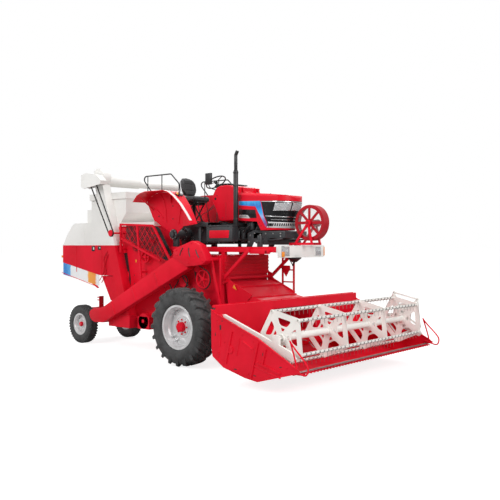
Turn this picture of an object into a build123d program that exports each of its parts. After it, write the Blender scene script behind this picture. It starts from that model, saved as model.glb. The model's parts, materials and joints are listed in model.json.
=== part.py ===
from build123d import *
import os
from math import cos, radians, sin

# Combine harvester carrying a farm tractor as its engine and cab. Millimetres.
# X runs forward from the drive axle, Y to the left and Z up from the ground.
front_reach = 3255
rear_reach = 4420
origin_shift = (rear_reach - front_reach) / 2

running_fit = 0.05
seat_gap = 0.3

# Drive wheels
drive_radius = 675
drive_width = 400
drive_y = 1080
lug_height = 36
lug_pitch = 18
drive_bead = 355
drive_lip = 381
drive_lip_y = 160
lip_thick = 7
drive_disc_y = 20
hub_radius = 100
spindle_radius = 45

# Steered wheels
wheelbase = 3650
steer_radius = 405
steer_width = 200
steer_y = 600
steer_bead = 203
steer_lip = 228
kingpin_y = 410
kingpin_radius = 25
beam_low = 480
beam_high = 600
tie_arm = 190

# Thresher body and frame
body_half = 600
body_front = 450
body_floor = 830
body_top = 1900
rear_top = 2440
rail_inner = body_half - 60
rail_low = 710
sheet = 5
frame_rear = -wheelbase - 200
hitch_x = frame_rear - 50
hitch_bore = 16
hood_seam = 2070
hood_top = 2540

# Grain side
tank_front = -2200
tank_rear = -3350
tank_top = 3130
leg_outer = body_half + 190
leg_lean = -0.326
duct_inner = leg_outer + 10
duct_outer = duct_inner + 150

# Tractor
mount_low = 1955
mount_high = 2045
mount_y = 500
tractor_axle_x = -755
tractor_axle_z = 2330
fender_top = 3070
trumpet_radius = 95
drum_y = 560
bonnet_half = 330
bonnet_rear = 575
bonnet_nose = 1640
gearbox_front = 350
seat_low = 2905
back_low_x = -1055
back_top_x = -1120
bracket_top = 2310

# Header
pivot_x = 500
pivot_z = 1500
header_half = 1900
side_sheet = 6
auger_x = 1861
auger_z = 566
auger_radius = 250
auger_tube = 130
trough_radius = 300
back_x = 1490
back_top = 1150
knife_x = 2980
knife_z = 355
floor_low_x = 2355
floor_low_z = 172

# Reel
reel_x = 2630
reel_z = 775
reel_radius = 400
bat_count = 5
first_bat = -30
tine_length = 95
crank_rise = 90
arm_pivot = (1600, 1020)
arm_end = (2980, 555)
arm_y = header_half - 115
ring_y = arm_y - 70
reel_half = ring_y - 35

# Lift rams of the header
ram_y = 350
ram_base = (300, 620)
ram_eye = (1060, 545)
ram_rod = 20

# Front rotor
rotor_x = 1920
rotor_z = 2440
rotor_radius = 294
rotor_width = 150

# Fits and small sizes used by several pieces
spindle_end = 70
final_y = body_half + 40
steer_spindle = 28
steer_lip_y = 92
rib_count = 3
rib_pitch = 44
rib_groove = 14
tie_pin = 12
ram_pin = 15
ram_drift = 8
hood_front = -2500
leg_low_z = 1130
leg_rear = -2270
leg_front = -2010
head_x = -2860
head_z = 3440
guard_y = -body_half - 140
throat_x = 560
feeder_right = 50 - body_half
feeder_left = body_half - 10
feeder_mouth_low = 560
feeder_mouth_high = 1040
pivot_shaft = 30
cheek_right = body_half
cheek_left = body_half + 40
bonnet_low = 2325
bonnet_hinge = (570, 3078)
hinge_y = 200
hinge_pin = 6
bar_x = 1720
bar_low = 1872
bar_top = 2069
rotor_shaft = 24
loop_bar = 9
auger_shaft = 22
rib_depth = 18
guard_pitch = 76.2
reel_shaft = 22
arm_pin = 20
rest_radius = 15
arm_heel = (1580, 990)
arm_belly = (2350, 700)
bat_tube = 16
tine_pitch = 150
crank_pin = 9
eccentric_radius = 150
plate_places = (-reel_half, -reel_half / 3, reel_half / 3, reel_half)
elevator_pulley = (-2250, 2310, 62, -leg_outer - 135)

# Columns: x, z, radius, distance from the body's side, spokes
pulley_table = (
    (130, 1480, 165, 145, 5),
    (-20, 1660, 60, 145, 0),
    (-420, 1420, 100, 100, 0),
    (-880, 830, 130, 100, 0),
    (-1500, 1850, 110, 80, 4),
)
# Pairs of rows in pulley_table that share a belt
belt_pairs = ((0, 1), (2, 3))

# Columns: start x, start z, end x, end z
rib_table = (
    (1900, 830, 1780, 360),
    (2400, 720, 2260, 190),
    (2370, 440, 2800, 330),
    (2540, 640, 2470, 400),
)


def block(x0, x1, y0, y1, z0, z1):
    return Pos((x0 + x1) / 2, (y0 + y1) / 2, (z0 + z1) / 2) * Box(x1 - x0, y1 - y0, z1 - z0)


def plate(points, y0, y1):
    # Outline in the XZ plane, given its width along Y
    outline = make_face(Polyline([(x, y0, z) for x, z in points], close=True))
    return extrude(outline, amount=y1 - y0, dir=(0, 1, 0))


def disc(x, z, radius, y0, y1):
    return Pos(x, (y0 + y1) / 2, z) * Rot(90, 0, 0) * Cylinder(radius, y1 - y0)


def ring(x, z, radius, bore, y0, y1):
    return disc(x, z, radius, y0, y1) - disc(x, z, bore, y0 - 1, y1 + 1)


def rod(start, end, radius):
    axis = Vector(*end) - Vector(*start)
    seat = Plane(origin=start, z_dir=axis)
    return seat * Cylinder(radius, axis.length, align=(Align.CENTER, Align.CENTER, Align.MIN))


def bar(start, end, width, depth):
    # A flat or square bar whose width lies along Y
    axis = Vector(*end) - Vector(*start)
    seat = Plane(origin=start, x_dir=(0, 1, 0), z_dir=axis)
    return seat * Box(width, depth, axis.length, align=(Align.CENTER, Align.CENTER, Align.MIN))


def post(x, y, z0, z1, size):
    return block(x - size / 2, x + size / 2, y - size / 2, y + size / 2, z0, z1)


def pipe(points, radius, bend):
    path = FilletPolyline(points, radius=bend)
    mouth = Plane(origin=path @ 0, z_dir=path % 0)
    return sweep(mouth * Circle(radius), path=path)


def turned(points, x, y, z):
    # Profile of (y, radius) points turned about a cross axis
    outline = make_face(Polyline([(x, y + along, z + radius) for along, radius in points], close=True))
    return revolve(outline, Axis((x, y, z), (0, 1, 0)))


def polar(x, z, radius, angle):
    return (x + radius * cos(radians(angle)), z + radius * sin(radians(angle)))


def left(shape):
    return mirror(shape, Plane.XZ)


def lug_section(y, lean, width, low, high):
    corners = []
    for angle, radius in ((-width, low), (-width, high), (width, high), (width, low)):
        x, z = polar(0, 0, radius, 90 + lean + angle)
        corners.append((x, y, z))
    return make_face(Polyline(corners, close=True))


def drive_tyre():
    half = drive_width / 2
    crown = drive_radius - lug_height
    bead = drive_bead + seat_gap
    seat = drive_lip_y - lip_thick - seat_gap
    profile = [
        (-seat, bead), (-seat, drive_lip + 2), (-half + 8, bead + 60), (-half, bead + 130),
        (-half + 6, crown - 70),
        (-half + 28, crown - 22), (-half + 70, crown), (half - 70, crown), (half - 28, crown - 22),
        (half - 6, crown - 70), (half, bead + 130), (half - 8, bead + 60), (seat, drive_lip + 2), (seat, bead),
    ]
    carcass = turned(profile, 0, 0, 0)
    lugs = []
    for side in (-1, 1):
        lug = loft([
            lug_section(-side * 14, 0, 1.2, crown - 12, drive_radius),
            lug_section(side * (half - 85), 6.5, 1.5, crown - 12, drive_radius),
            lug_section(side * (half - 6), 10.5, 2.0, crown - 60, drive_radius - 22),
        ], ruled=True)
        start = 0 if side < 0 else lug_pitch / 2
        for step in range(int(360 / lug_pitch)):
            lugs.append(Rot(0, start + step * lug_pitch, 0) * lug)
    return carcass + lugs


def drive_rim():
    # Deep dish: barrel with a lip at each edge and a pressed disc set in from the outer lip
    lip = drive_lip_y
    profile = [
        (-lip, drive_lip), (-lip, drive_bead - 10), (-lip + 60, drive_bead - 22), (-lip + 90, 318), (40, 318),
        (70, drive_bead - 22), (lip, drive_bead - 10), (lip, drive_lip), (lip - lip_thick, drive_lip),
        (lip - lip_thick, drive_bead), (-lip + lip_thick, drive_bead), (-lip + lip_thick, drive_lip),
    ]
    barrel = turned(profile, 0, 0, 0)
    dish = turned([
        (drive_disc_y, hub_radius), (drive_disc_y, 180), (-20, 300), (-20, 318), (-8, 318), (-8, 303),
        (drive_disc_y + 12, 186), (drive_disc_y + 12, hub_radius),
    ], 0, 0, 0)
    return barrel + dish


def drive_hub():
    # A blind bore runs on the axle's spindle, and eight studs stand round it
    seat = drive_disc_y + 12
    hub = turned([
        (drive_disc_y - 90, 0), (drive_disc_y - 90, hub_radius), (seat, hub_radius), (seat, hub_radius + 45),
        (seat + 14, hub_radius + 45), (seat + 14, hub_radius - 15), (seat + 70, hub_radius - 20),
        (seat + 84, 60), (seat + 84, 0),
    ], 0, 0, 0)
    hub -= disc(0, 0, spindle_radius + running_fit, drive_disc_y - 91, spindle_end + running_fit)
    for step in range(8):
        x, z = polar(0, 0, hub_radius + 22, step * 45)
        hub += disc(x, z, 9, seat + 14, seat + 34)
    return hub


def steer_tyre():
    half = steer_width / 2
    bead = steer_bead + seat_gap
    seat = steer_lip_y - lip_thick - seat_gap
    profile = [
        (-seat, bead), (-seat, steer_lip + 2), (-half, bead + 70), (-half + 4, steer_radius - 40),
        (-half + 20, steer_radius - 8),
    ]
    for step in range(rib_count):
        y = (step - rib_count / 2) * rib_pitch + rib_groove / 2
        high = y + rib_pitch - rib_groove
        profile += [(y - 3, steer_radius - 10), (y, steer_radius), (high, steer_radius),
                    (high + 3, steer_radius - 10)]
    profile += [
        (half - 20, steer_radius - 8), (half - 4, steer_radius - 40), (half, bead + 70),
        (seat, steer_lip + 2), (seat, bead),
    ]
    return turned(profile, 0, 0, 0)


def steer_rim():
    lip = steer_lip_y
    rim = turned([
        (-lip, steer_lip), (-lip, steer_bead - 8), (-lip + 40, 180), (lip - 40, 180), (lip, steer_bead - 8),
        (lip, steer_lip), (lip - lip_thick, steer_lip), (lip - lip_thick, steer_bead),
        (-lip + lip_thick, steer_bead), (-lip + lip_thick, steer_lip),
    ], 0, 0, 0)
    rim += turned([(20, 60), (20, 110), (-10, 182), (-2, 182), (28, 112), (28, 60)], 0, 0, 0)
    hub = turned([
        (-60, 0), (-60, 50), (-20, 61), (28, 61), (28, 84), (38, 84), (38, 48), (78, 44), (88, 30), (88, 0),
    ], 0, 0, 0)
    hub -= disc(0, 0, steer_spindle + running_fit, -61, 50)
    return rim + hub


def drive_axle():
    # Box housing with final drives at both ends and a spindle out to each hub
    axle = block(-60, 60, -final_y, final_y, rail_low - 120, rail_low)
    axle += ring(0, drive_radius - 40, 150, 10, -130, 130) & block(-200, 200, -200, 200, 400, rail_low)
    hub_inner = drive_y + drive_disc_y - 90
    for side in (-1, 1):
        case = disc(0, drive_radius, 160, final_y, final_y + 80)
        case += disc(0, drive_radius, 90, final_y + 80, hub_inner - running_fit)
        case += disc(0, drive_radius, spindle_radius, final_y + 80, drive_y + spindle_end)
        axle += case if side > 0 else left(case)
    return axle


def rear_axle():
    beam_mid = (beam_low + beam_high) / 2
    axle = block(-wheelbase - 60, -wheelbase + 60, -kingpin_y, kingpin_y, beam_low, beam_high)
    for side in (-1, 1):
        axle += Pos(-wheelbase, side * kingpin_y, beam_mid) * Cylinder(60, beam_high - beam_low)
        axle -= Pos(-wheelbase, side * kingpin_y, beam_mid) * Cylinder(kingpin_radius + running_fit, 300)
    return axle


def knuckle():
    # Left-hand knuckle: fork, kingpin, spindle and the steering arm behind
    x = -wheelbase
    y = kingpin_y
    low = beam_low - seat_gap
    high = beam_high + seat_gap
    web = y + 70
    shape = Pos(x, y, (low + high) / 2) * Cylinder(kingpin_radius, high - low + 30)
    shape += block(x - 40, x + 40, y - 40, web + 16, high, high + 20)
    shape += block(x - 40, x + 40, y - 40, web + 16, low - 20, low)
    shape += block(x - 40, x + 40, web, web + 16, steer_radius - 45, high + 20)
    shape += disc(x, steer_radius, 42, web + 16, steer_y - 62)
    shape += disc(x, steer_radius, steer_spindle, steer_y - 62, steer_y + 48)
    shape += block(x - tie_arm, x - 39, y - 20, y + 20, low - 20, low)
    shape += Pos(x - tie_arm, y, low - 10) * Cylinder(26, 20)
    shape -= Pos(x - tie_arm, y, low - 10) * Cylinder(tie_pin + running_fit, 60)
    return shape


def tie_rod():
    x = -wheelbase - tie_arm
    low = beam_low - 2 * seat_gap - 20
    tie = rod((x, -kingpin_y, low - 20), (x, kingpin_y, low - 20), 16)
    for side in (-1, 1):
        tie += Pos(x, side * kingpin_y, low - 20) * Cylinder(26, 40)
        tie += Pos(x, side * kingpin_y, low) * Cylinder(tie_pin, 60)
    return tie


def chassis_frame():
    frame = block(290, 350, -rail_inner, rail_inner, rail_low, body_floor)
    frame += block(-2700, -2640, -rail_inner, rail_inner, rail_low, body_floor)
    frame += block(frame_rear, frame_rear + 60, -rail_inner, rail_inner, body_floor, body_floor + 120)
    # Tow hitch: two plates with a pin hole behind the rear cross member
    for z in (body_floor + 20, body_floor + 80):
        frame += block(hitch_x - 40, frame_rear, -45, 45, z, z + 20)
    frame -= Pos(hitch_x, 0, body_floor + 60) * Cylinder(hitch_bore, 100)
    for side in (-1, 1):
        rails = block(-3050, 350, rail_inner, body_half, rail_low, body_floor)
        rails += block(frame_rear, -2620, rail_inner, body_half, body_floor, body_floor + 120)
        frame += rails if side > 0 else left(rails)
    # Carrier that stands on the rear axle beam
    carrier = make_face(Polyline([
        (-wheelbase, -rail_inner, body_floor + 120), (-wheelbase, rail_inner, body_floor + 120),
        (-wheelbase, rail_inner, body_floor + 10), (-wheelbase, 140, beam_high),
        (-wheelbase, -140, beam_high), (-wheelbase, -rail_inner, body_floor + 10),
    ], close=True))
    frame += extrude(carrier, amount=45, dir=(1, 0, 0), both=True)
    for side in (-1, 1):
        ears = block(ram_base[0] - 40, ram_base[0] + 35, 18, 32, ram_base[1] - 40, rail_low)
        ears += block(ram_base[0] - 40, ram_base[0] + 35, -32, -18, ram_base[1] - 40, rail_low)
        ears += disc(ram_base[0], ram_base[1], ram_pin, -32, 32)
        frame += Pos(0, side * ram_y, 0) * ears
    return frame


def thresher_body():
    # Threshing and cleaning box with its cleaning fan and two cross troughs below
    body = plate([
        (body_front, body_top), (body_front, 1000), (350, body_floor), (-2620, body_floor), (-2620, body_floor + 120),
        (-2700, body_floor + 120), (-3000, 1440), (hood_front, 1440), (hood_front, rear_top), (-1250, rear_top),
        (-1100, body_top),
    ], -body_half, body_half)
    lower = disc(-880, 830, 270, -rail_inner, rail_inner)
    lap = body_floor + 20
    lower += plate([(-1200, lap), (-1460, 520), (-1640, 520), (-1860, lap)], -rail_inner, rail_inner)
    lower += plate([(-1800, lap), (-2100, 500), (-2300, 500), (-2560, lap)], -rail_inner, rail_inner)
    lower &= block(-2640, 200, -rail_inner, rail_inner, 400, lap)
    body += lower
    # Troughs reach out to the elevators under the right-hand rail
    for x0, x1, z0, outer in ((-1720, -1380, 470, 700), (-2500, -1840, 470, duct_inner)):
        body += block(x0, x1, -outer, -rail_inner, z0, rail_low - 2)
    return body


def straw_hood_lower():
    rear = -rear_reach
    outline = [(rear, hood_seam), (rear, 1695), (-3080, 1453), (hood_front, 1453), (hood_front, hood_seam)]
    hood = plate(outline, -body_half, body_half)
    inner = [(rear + sheet, hood_seam + 1), (rear + sheet, 1400), (-3080, 1400), (-3080, 1453 + sheet),
             (hood_front + 1, 1453 + sheet), (hood_front + 1, hood_seam + 1)]
    return hood - plate(inner, -body_half + sheet, body_half - sheet)


def straw_hood_top():
    rear = -rear_reach
    outline = [(rear + 5, hood_seam), (rear + 60, 2140), (rear + 190, 2320), (rear + 370, 2500),
               (rear + 460, hood_top), (hood_front, hood_top), (hood_front, hood_seam)]
    hood = plate(outline, -body_half, body_half)
    inner = [(rear + 5 + sheet, hood_seam - 1), (rear + 60 + sheet, 2138), (rear + 194, 2316),
             (rear + 374, 2496), (rear + 463, hood_top - sheet), (hood_front + 1, hood_top - sheet),
             (hood_front + 1, hood_seam - 1)]
    return hood - plate(inner, -body_half + sheet, body_half - sheet)


def straw_skirt():
    # Flaps hung inside the hood's side sheets and rear sheet
    rear = -rear_reach + sheet
    side = plate([(rear, 1760), (rear, 1430), (-3100, 1230), (-3100, 1500)], body_half - sheet - 4, body_half - sheet)
    back = block(rear, rear + 4, -body_half + sheet, body_half - sheet, 1450, 1760)
    return side + left(side) + back


def grain_tank():
    front = tank_front
    rear = tank_rear
    outline = [(rear, tank_top), (rear, hood_top), (front - 150, hood_top), (front, 2720), (front, tank_top)]
    tank = plate(outline, -body_half, body_half)
    inner = [(rear + sheet, tank_top + 1), (rear + sheet, 2900), (-2900, hood_top + sheet),
             (front - 155, hood_top + sheet), (front - sheet, 2722), (front - sheet, tank_top + 1)]
    rim = block(rear - 30, front + 30, -body_half - 30, body_half + 30, tank_top - 130, tank_top)
    rim -= block(rear - 30 + sheet, front + 30 - sheet, -body_half - 30 + sheet, body_half + 30 - sheet,
                 tank_top - 130 + sheet, tank_top + 1)
    tank += rim
    tank -= plate(inner, -body_half + sheet, body_half - sheet)
    tank -= plate(leg_outline(hood_top, tank_top + 1), -leg_outer, -body_half)
    tank += block(-3760, rear, -420, 420, hood_top, 2830)
    cover = block(hood_front + 1, -1340, -body_half, body_half, rear_top, rear_top + 80)
    cover += block(hood_front + 1, front - 150, -body_half, body_half, rear_top + 80, hood_top)
    return tank + cover


def leg_x(z):
    return leg_lean * (z - leg_low_z)


def leg_outline(z0, z1):
    return [(leg_rear + leg_x(z0), z0), (leg_front + leg_x(z0), z0), (leg_front + leg_x(z1), z1),
            (leg_rear + leg_x(z1), z1)]


def elevator_leg_lower():
    return plate(leg_outline(rail_low, hood_seam), -leg_outer, -body_half)


def elevator_leg_upper():
    # White upper leg with its drum-shaped head and the belt cover on the outer side
    upper = plate(leg_outline(hood_seam, 3300), -leg_outer, -body_half)
    upper += disc(head_x, head_z, 185, -leg_outer, -body_half)
    cover = plate([(-3150, 3250), (-3150, 3490), (-2990, 3530), (-2640, 3470), (-2480, 3350), (-2510, 3280),
                   (-3060, 3215)],
                  -leg_outer - 210, -leg_outer - 60)
    cover -= plate([(-3120, 3150), (-3120, 3470), (-2990, 3505), (-2650, 3445), (-2520, 3340), (-2545, 3150)],
                   -leg_outer - 185, -leg_outer - 61)
    cover += disc(head_x, head_z - 100, 30, -leg_outer - 60, -leg_outer)
    return upper + cover


def cross_auger_tube():
    tube = rod((head_x, -body_half, head_z - 60), (head_x, 240, head_z - 60), 105)
    tube += rod((head_x, 240, head_z - 70), (head_x, 1360, head_z - 70), 75)
    return tube


def returns_elevator():
    duct = plate([(-2460, 800), (-2460, 560), (-2380, 560), (-60, 1690), (-200, 1960)], -duct_outer, -duct_inner)
    head = plate([(-420, 1860), (-400, 1990), (-290, 2040), (70, 2150), (250, 2080), (370, 1930), (420, 1810),
                  (320, 1740), (-60, 1700)], -duct_outer - 15, -duct_inner)
    for x, z, lean in ((-200, 1960, 60), (0, 1950, 100), (200, 1930, 120)):
        start = polar(x, z, -70, lean)
        end = polar(x, z, 70, lean)
        head -= bar((start[0], -duct_outer - 10, start[1]), (end[0], -duct_outer - 10, end[1]), 14, 22)
    duct += head
    duct += disc(100, 1840, 45, -duct_inner, -body_half)
    return duct


def side_guard():
    # Bent bar frame with a diagonal lattice, stood off from the body's side
    y = guard_y
    corners = [(-2190, 1930), (-2190, 2480), (-1230, 2440), (-1170, 2380), (-720, 1780)]
    guard = Part()
    for start, end in zip(corners, corners[1:]):
        guard += bar((start[0], y, start[1]), (end[0], y, end[1]), 30, 40)
        guard += disc(end[0], end[1], 20, y - 15, y + 15)
    guard += bar((-2190, y, 2210), (-1000, y, 1790), 30, 40)
    guard += bar((-1680, y, 2440), (-1560, y, 1450), 30, 40)
    lattice = Part()
    for step in range(9):
        x = -2300 + step * 150
        lattice += bar((x, y, 2500), (x + 640, y, 1700), 6, 8)
        lattice += bar((x + 640, y, 2500), (x, y, 1700), 6, 8)
    window = plate([(-2190, 2210), (-2190, 2470), (-1240, 2430), (-1170, 2370), (-830, 1900), (-1000, 1790)],
                   y - 20, y + 20)
    guard += lattice & window
    for x, z in ((-2190, 2430), (-2190, 2000), (-1250, 2300), (-1574, 1560), (-760, 1840)):
        guard += block(x - 15, x + 15, y, -body_half, z - 15, z + 15)
    return guard


def spoked(x, z, radius, y0, y1, spokes):
    wheel = ring(x, z, radius, radius - 22, y0, y1)
    wheel += disc(x, z, 34, y0 - 6, y1 + 6)
    for step in range(spokes):
        tip = polar(x, z, radius - 10, step * 360 / spokes)
        wheel += bar((x, (y0 + y1) / 2, z), (tip[0], (y0 + y1) / 2, tip[1]), (y1 - y0) * 0.5, 26)
    return wheel


def side_pulleys():
    # Pulleys on shaft ends that stand out of the body's right side
    pulleys = Part()
    for x, z, radius, reach, spokes in pulley_table:
        y = -body_half - reach
        pulley = spoked(x, z, radius, y - 20, y + 20, spokes) if spokes else disc(x, z, radius, y - 20, y + 20)
        pulleys += pulley
        pulleys += disc(x, z, 18, y + 20, -body_half)
    x, z, radius, y = elevator_pulley
    pulleys += disc(x, z, radius, y - 25, y + 25)
    pulleys += disc(x, z, 18, y + 25, -body_half)
    return pulleys


def belt(first, first_radius, second, second_radius, y0, y1, thick):
    # Loop round two pulleys: the space between two hulls of circles
    run = Vector(second[0] - first[0], second[1] - first[1])
    along = run.normalized()
    spread = (first_radius - second_radius) / run.length
    rise = (1 - spread * spread) ** 0.5

    def hull(extra):
        corners = []
        for centre, radius, side in ((first, first_radius, 1), (second, second_radius, 1),
                                     (second, second_radius, -1), (first, first_radius, -1)):
            nx = along.X * spread - side * along.Y * rise
            nz = along.Y * spread + side * along.X * rise
            corners.append((centre[0] + nx * (radius + extra), centre[1] + nz * (radius + extra)))
        shape = plate(corners, y0, y1)
        shape += disc(first[0], first[1], first_radius + extra, y0, y1)
        shape += disc(second[0], second[1], second_radius + extra, y0, y1)
        return shape
    return hull(thick) - hull(0)


def drive_belts():
    belts = Part()
    for first, second in belt_pairs:
        x0, z0, r0, reach, _ = pulley_table[first]
        x1, z1, r1, _, _ = pulley_table[second]
        y = -body_half - reach
        belts += belt((x0, z0), r0 + seat_gap, (x1, z1), r1 + seat_gap, y - 10, y + 10, 12)
    x, z, radius, y = elevator_pulley
    belts += belt((x, z), radius + seat_gap, (head_x, head_z - 100), 80, y - 12, y + 12, 12)
    return belts


def access_ladder():
    ladder = Part()
    tread = mount_low - 16
    for x in (760, 1040):
        ladder += post(x, 900, 1120, tread, 30)
    for z in (1180, 1400, 1620, 1840):
        ladder += block(760, 1040, 888, 912, z - 12, z + 12)
    ladder += block(560, 1100, 690, 1000, tread, mount_low)
    ladder += block(700, 760, mount_y - 30, 690, tread, mount_low)
    ladder += block(850, 910, mount_y - 30, 690, tread, mount_low)
    return ladder


def mount_frame():
    # Rails that carry the tractor, with legs down to the body and the rotor's stand at the front
    frame = Part()
    for y in (-mount_y, mount_y):
        frame += block(-950, 1600, y - 40, y + 40, mount_low, mount_high)
        for x in (-640, -100, 400):
            frame += block(x - 40, x + 40, y - 35, y + 35, body_top, mount_low)
    for x in (-900, 300, 1540):
        frame += block(x, x + 60, -mount_y + 40, mount_y - 40, mount_low, mount_high)
    frame += block(1030, 1090, -cheek_right - 40, cheek_left + 40, mount_low, mount_high)
    for y in (-cheek_right - 20, cheek_left + 20):
        frame += bar((490, y, 1490), (1060, y, mount_low + 20), 40, 50)
    stand_low = bar_top + 6
    for y in (-110, 110):
        frame += block(1540, 2020, y - 15, y + 15, stand_low, stand_low + 40)
        frame += block(1540, 1590, y - 15, y + 15, mount_high, stand_low)
        frame += bar((1660, y, stand_low + 20), (rotor_x, y, rotor_z), 20, 36)
        frame += bar((2000, y, stand_low + 20), (rotor_x, y, rotor_z), 20, 36)
        frame += disc(rotor_x, rotor_z, 48, y - 15, y + 15)
    frame -= disc(rotor_x, rotor_z, rotor_shaft + running_fit, -200, 200)
    return frame


def light_bar():
    bar_body = block(bar_x, bar_x + 80, -650, 630, bar_low, bar_top)
    for y in (-520, 500):
        bar_body -= block(bar_x + 40, bar_x + 81, y - 75, y + 75, bar_low + 25, bar_top - 25)
    bar_body += block(1600, bar_x, -540, -460, mount_low, mount_high)
    bar_body += block(1600, bar_x, 460, 540, mount_low, mount_high)
    return bar_body


def lamps():
    glass = Part()
    for y in (-520, 500):
        glass += block(bar_x + 40, bar_x + 86, y - 75, y + 75, bar_low + 25, bar_top - 25)
    glass += block(bar_x + 80, bar_x + 100, -645, -600, bar_low + 15, bar_top - 15)
    glass += block(bar_x + 10, bar_x + 60, 630, 665, bar_low + 20, bar_top - 20)
    return glass


def front_rotor():
    # Flat-spoked drum with a band, turning on a cross shaft
    half = rotor_width / 2
    rotor = ring(rotor_x, rotor_z, rotor_radius, rotor_radius - 8, -half, half)
    rotor += ring(rotor_x, rotor_z, rotor_radius, rotor_radius - 55, -half, -half + 6)
    rotor += disc(rotor_x, rotor_z, 55, -half, half)
    for step in range(8):
        tip = polar(rotor_x, rotor_z, rotor_radius - 30, step * 45)
        rotor += bar((rotor_x, -half + 3, rotor_z), (tip[0], -half + 3, tip[1]), 6, 46)
    rotor += disc(rotor_x, rotor_z, rotor_shaft, -140, 180)
    rotor += disc(rotor_x, rotor_z, 60, 145, 175)
    return rotor


def tractor_housing():
    # Gearbox, rear axle trumpets with brake drums, and the front axle bracket with its weight carrier
    case = block(-1050, gearbox_front, -200, 200, 2100, 2480)
    case += disc(tractor_axle_x, tractor_axle_z, trumpet_radius, -drum_y, drum_y)
    case += disc(tractor_axle_x, tractor_axle_z, 150, -drum_y - 80, -drum_y)
    case += disc(tractor_axle_x, tractor_axle_z, 150, drum_y, drum_y + 80)
    for y in (-mount_y, mount_y):
        case += block(tractor_axle_x - 60, tractor_axle_x + 60, y - 30, y + 30, mount_high, tractor_axle_z - 60)
    case += block(850, 1420, -300, 300, 2190, bracket_top)
    case += block(1010, 1110, -460, 460, mount_high, 2190)
    return case


def engine_block():
    engine = block(gearbox_front, 840, -210, 210, 2160, bracket_top)
    engine += block(gearbox_front, bonnet_rear + 10, -210, 210, bracket_top, 2470)
    return engine + block(bonnet_rear + 10, 1090, -210, 210, bracket_top, 2720)


def bonnet_shell():
    z_side = bonnet_low
    outline = [(bonnet_rear, 2510), (bonnet_rear, 3030), (1200, 2975), (bonnet_nose - 60, 2890), (bonnet_nose, 2820),
               (bonnet_nose - 10, 2650), (1440, z_side), (1110, z_side), (1010, 2480)]
    shell = plate(outline, -bonnet_half, bonnet_half)
    inner = [(bonnet_rear - 1, 2300), (bonnet_rear - 1, 3024), (1199, 2969), (bonnet_nose - 63, 2884),
             (bonnet_nose - 90, 2820), (bonnet_nose - 90, 2650), (1370, 2300)]
    shell -= plate(inner, -bonnet_half + sheet, bonnet_half - sheet)
    shell -= plate([(1180, 2860), (1900, 2820), (1900, 2420), (1260, 2420)], -bonnet_half - 1, bonnet_half + 1)
    x, z = bonnet_hinge
    for y in (-hinge_y, hinge_y):
        eye = disc(x, z, 13, y - 18, y + 18)
        eye += plate([(x + 6, 3024), (x + 30, 3022), (x + 13, z), (x, z + 5), (x + 6, z - 30)], y - 18, y + 18)
        shell += eye - disc(x, z, hinge_pin + running_fit, y - 20, y + 20)
    return shell


def bonnet_grille():
    outline = [(1180, 2860), (bonnet_nose - 30, 2835), (bonnet_nose - 12, 2820), (bonnet_nose - 22, 2650),
               (1515, 2420), (1260, 2420)]
    grille = plate(outline, -bonnet_half + 2, bonnet_half - 2)
    inner = [(1100, 2860 + 9), (bonnet_nose - 91, 2840), (bonnet_nose - 91, 2640), (1420, 2419), (1100, 2419)]
    return grille - plate(inner, -bonnet_half + sheet, bonnet_half - sheet)


def cowl():
    body = plate([(0, 2560), (-60, 2900), (30, 3060), (150, 3150), (480, 3130), (560, 3060), (560, 2480), (120, 2480)],
                 -bonnet_half, bonnet_half)
    x, z = bonnet_hinge
    for y in (-hinge_y, hinge_y):
        body += disc(x, z, hinge_pin, y - 40, y + 40)
        for inner in (y - 40, y + 20):
            body += plate([(x - 50, 3060), (x - 10, 3040), (x - 10, z - 20), (x + 10, z), (x, z + 12),
                           (x - 30, z + 12)], inner, inner + 20)
    return body


def fender():
    # Left-hand fender: a bent arch sheet over a flat inner panel
    outer = [(-1610, 2890), (-1370, fender_top), (-690, fender_top), (-300, 2850), (60, 2520), (100, 2410)]
    inner = [(92, 2406), (52, 2514), (-305, 2842), (-692, fender_top - 8), (-1366, fender_top - 8), (-1606, 2882)]
    arch = plate(outer + inner, drum_y - 6, 900)
    panel = plate([
        (-1340, fender_top), (-1330, 2880), (-1194, 2560), (-920, 2230), (-590, 2230), (-200, 2425),
        (96, 2408), (60, 2520), (-300, 2850), (-690, fender_top),
    ], drum_y - 6, drum_y)
    panel -= disc(tractor_axle_x, tractor_axle_z, trumpet_radius + seat_gap, drum_y - 20, drum_y + 1)
    return arch + panel


def fenders():
    return fender() + left(fender())


def fender_rails():
    rails = Part()
    for side in (-1, 1):
        y = side * 750
        rails += pipe([(-1250, y, fender_top + 8), (-1530, y, 3370), (-700, y, 3370), (-480, y, 3180),
                       (-480, y, 2944)], 12, 60)
        rails += block(-1280, -1220, y - 25, y + 25, fender_top, fender_top + 16)
        for x in (-1350, -950):
            rails += rod((x, y, fender_top), (x, y, 3370), 9)
    return rails - fenders()


def seat_frame():
    frame = block(-1062, -700, -180, 180, 2880, seat_low)
    frame += block(-960, -800, -120, 120, 2480, 2880)
    lean = (back_top_x - back_low_x) / (3380 - 3002)
    high_x = back_low_x + lean * (3300 - 3002)
    frame += plate([(back_low_x, seat_low), (back_low_x, 3002), (high_x, 3300), (high_x - 8, 3300),
                    (back_low_x - 8, 3002), (back_low_x - 8, seat_low)], -100, 100)
    return frame


def seat_cushions():
    cushion = block(-1030, -640, -225, 225, seat_low, 3000)
    back = plate([(back_low_x, 3002), (-985, 3002), (-1060, 3380), (back_top_x, 3380)], -210, 210)
    return cushion + back


def steering_column():
    column = rod((-20, 0, 2830), (-280, 0, 3230), 22)
    seat = Plane(origin=(-290, 0, 3245), z_dir=(-260, 0, 400))
    wheel = seat * Torus(190, 12)
    for step in range(3):
        wheel += seat * Rot(0, 0, step * 120) * Pos(95, 0, 0) * Box(180, 16, 8)
    wheel += seat * Cylinder(32, 40)
    return column - cowl() + wheel


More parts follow.
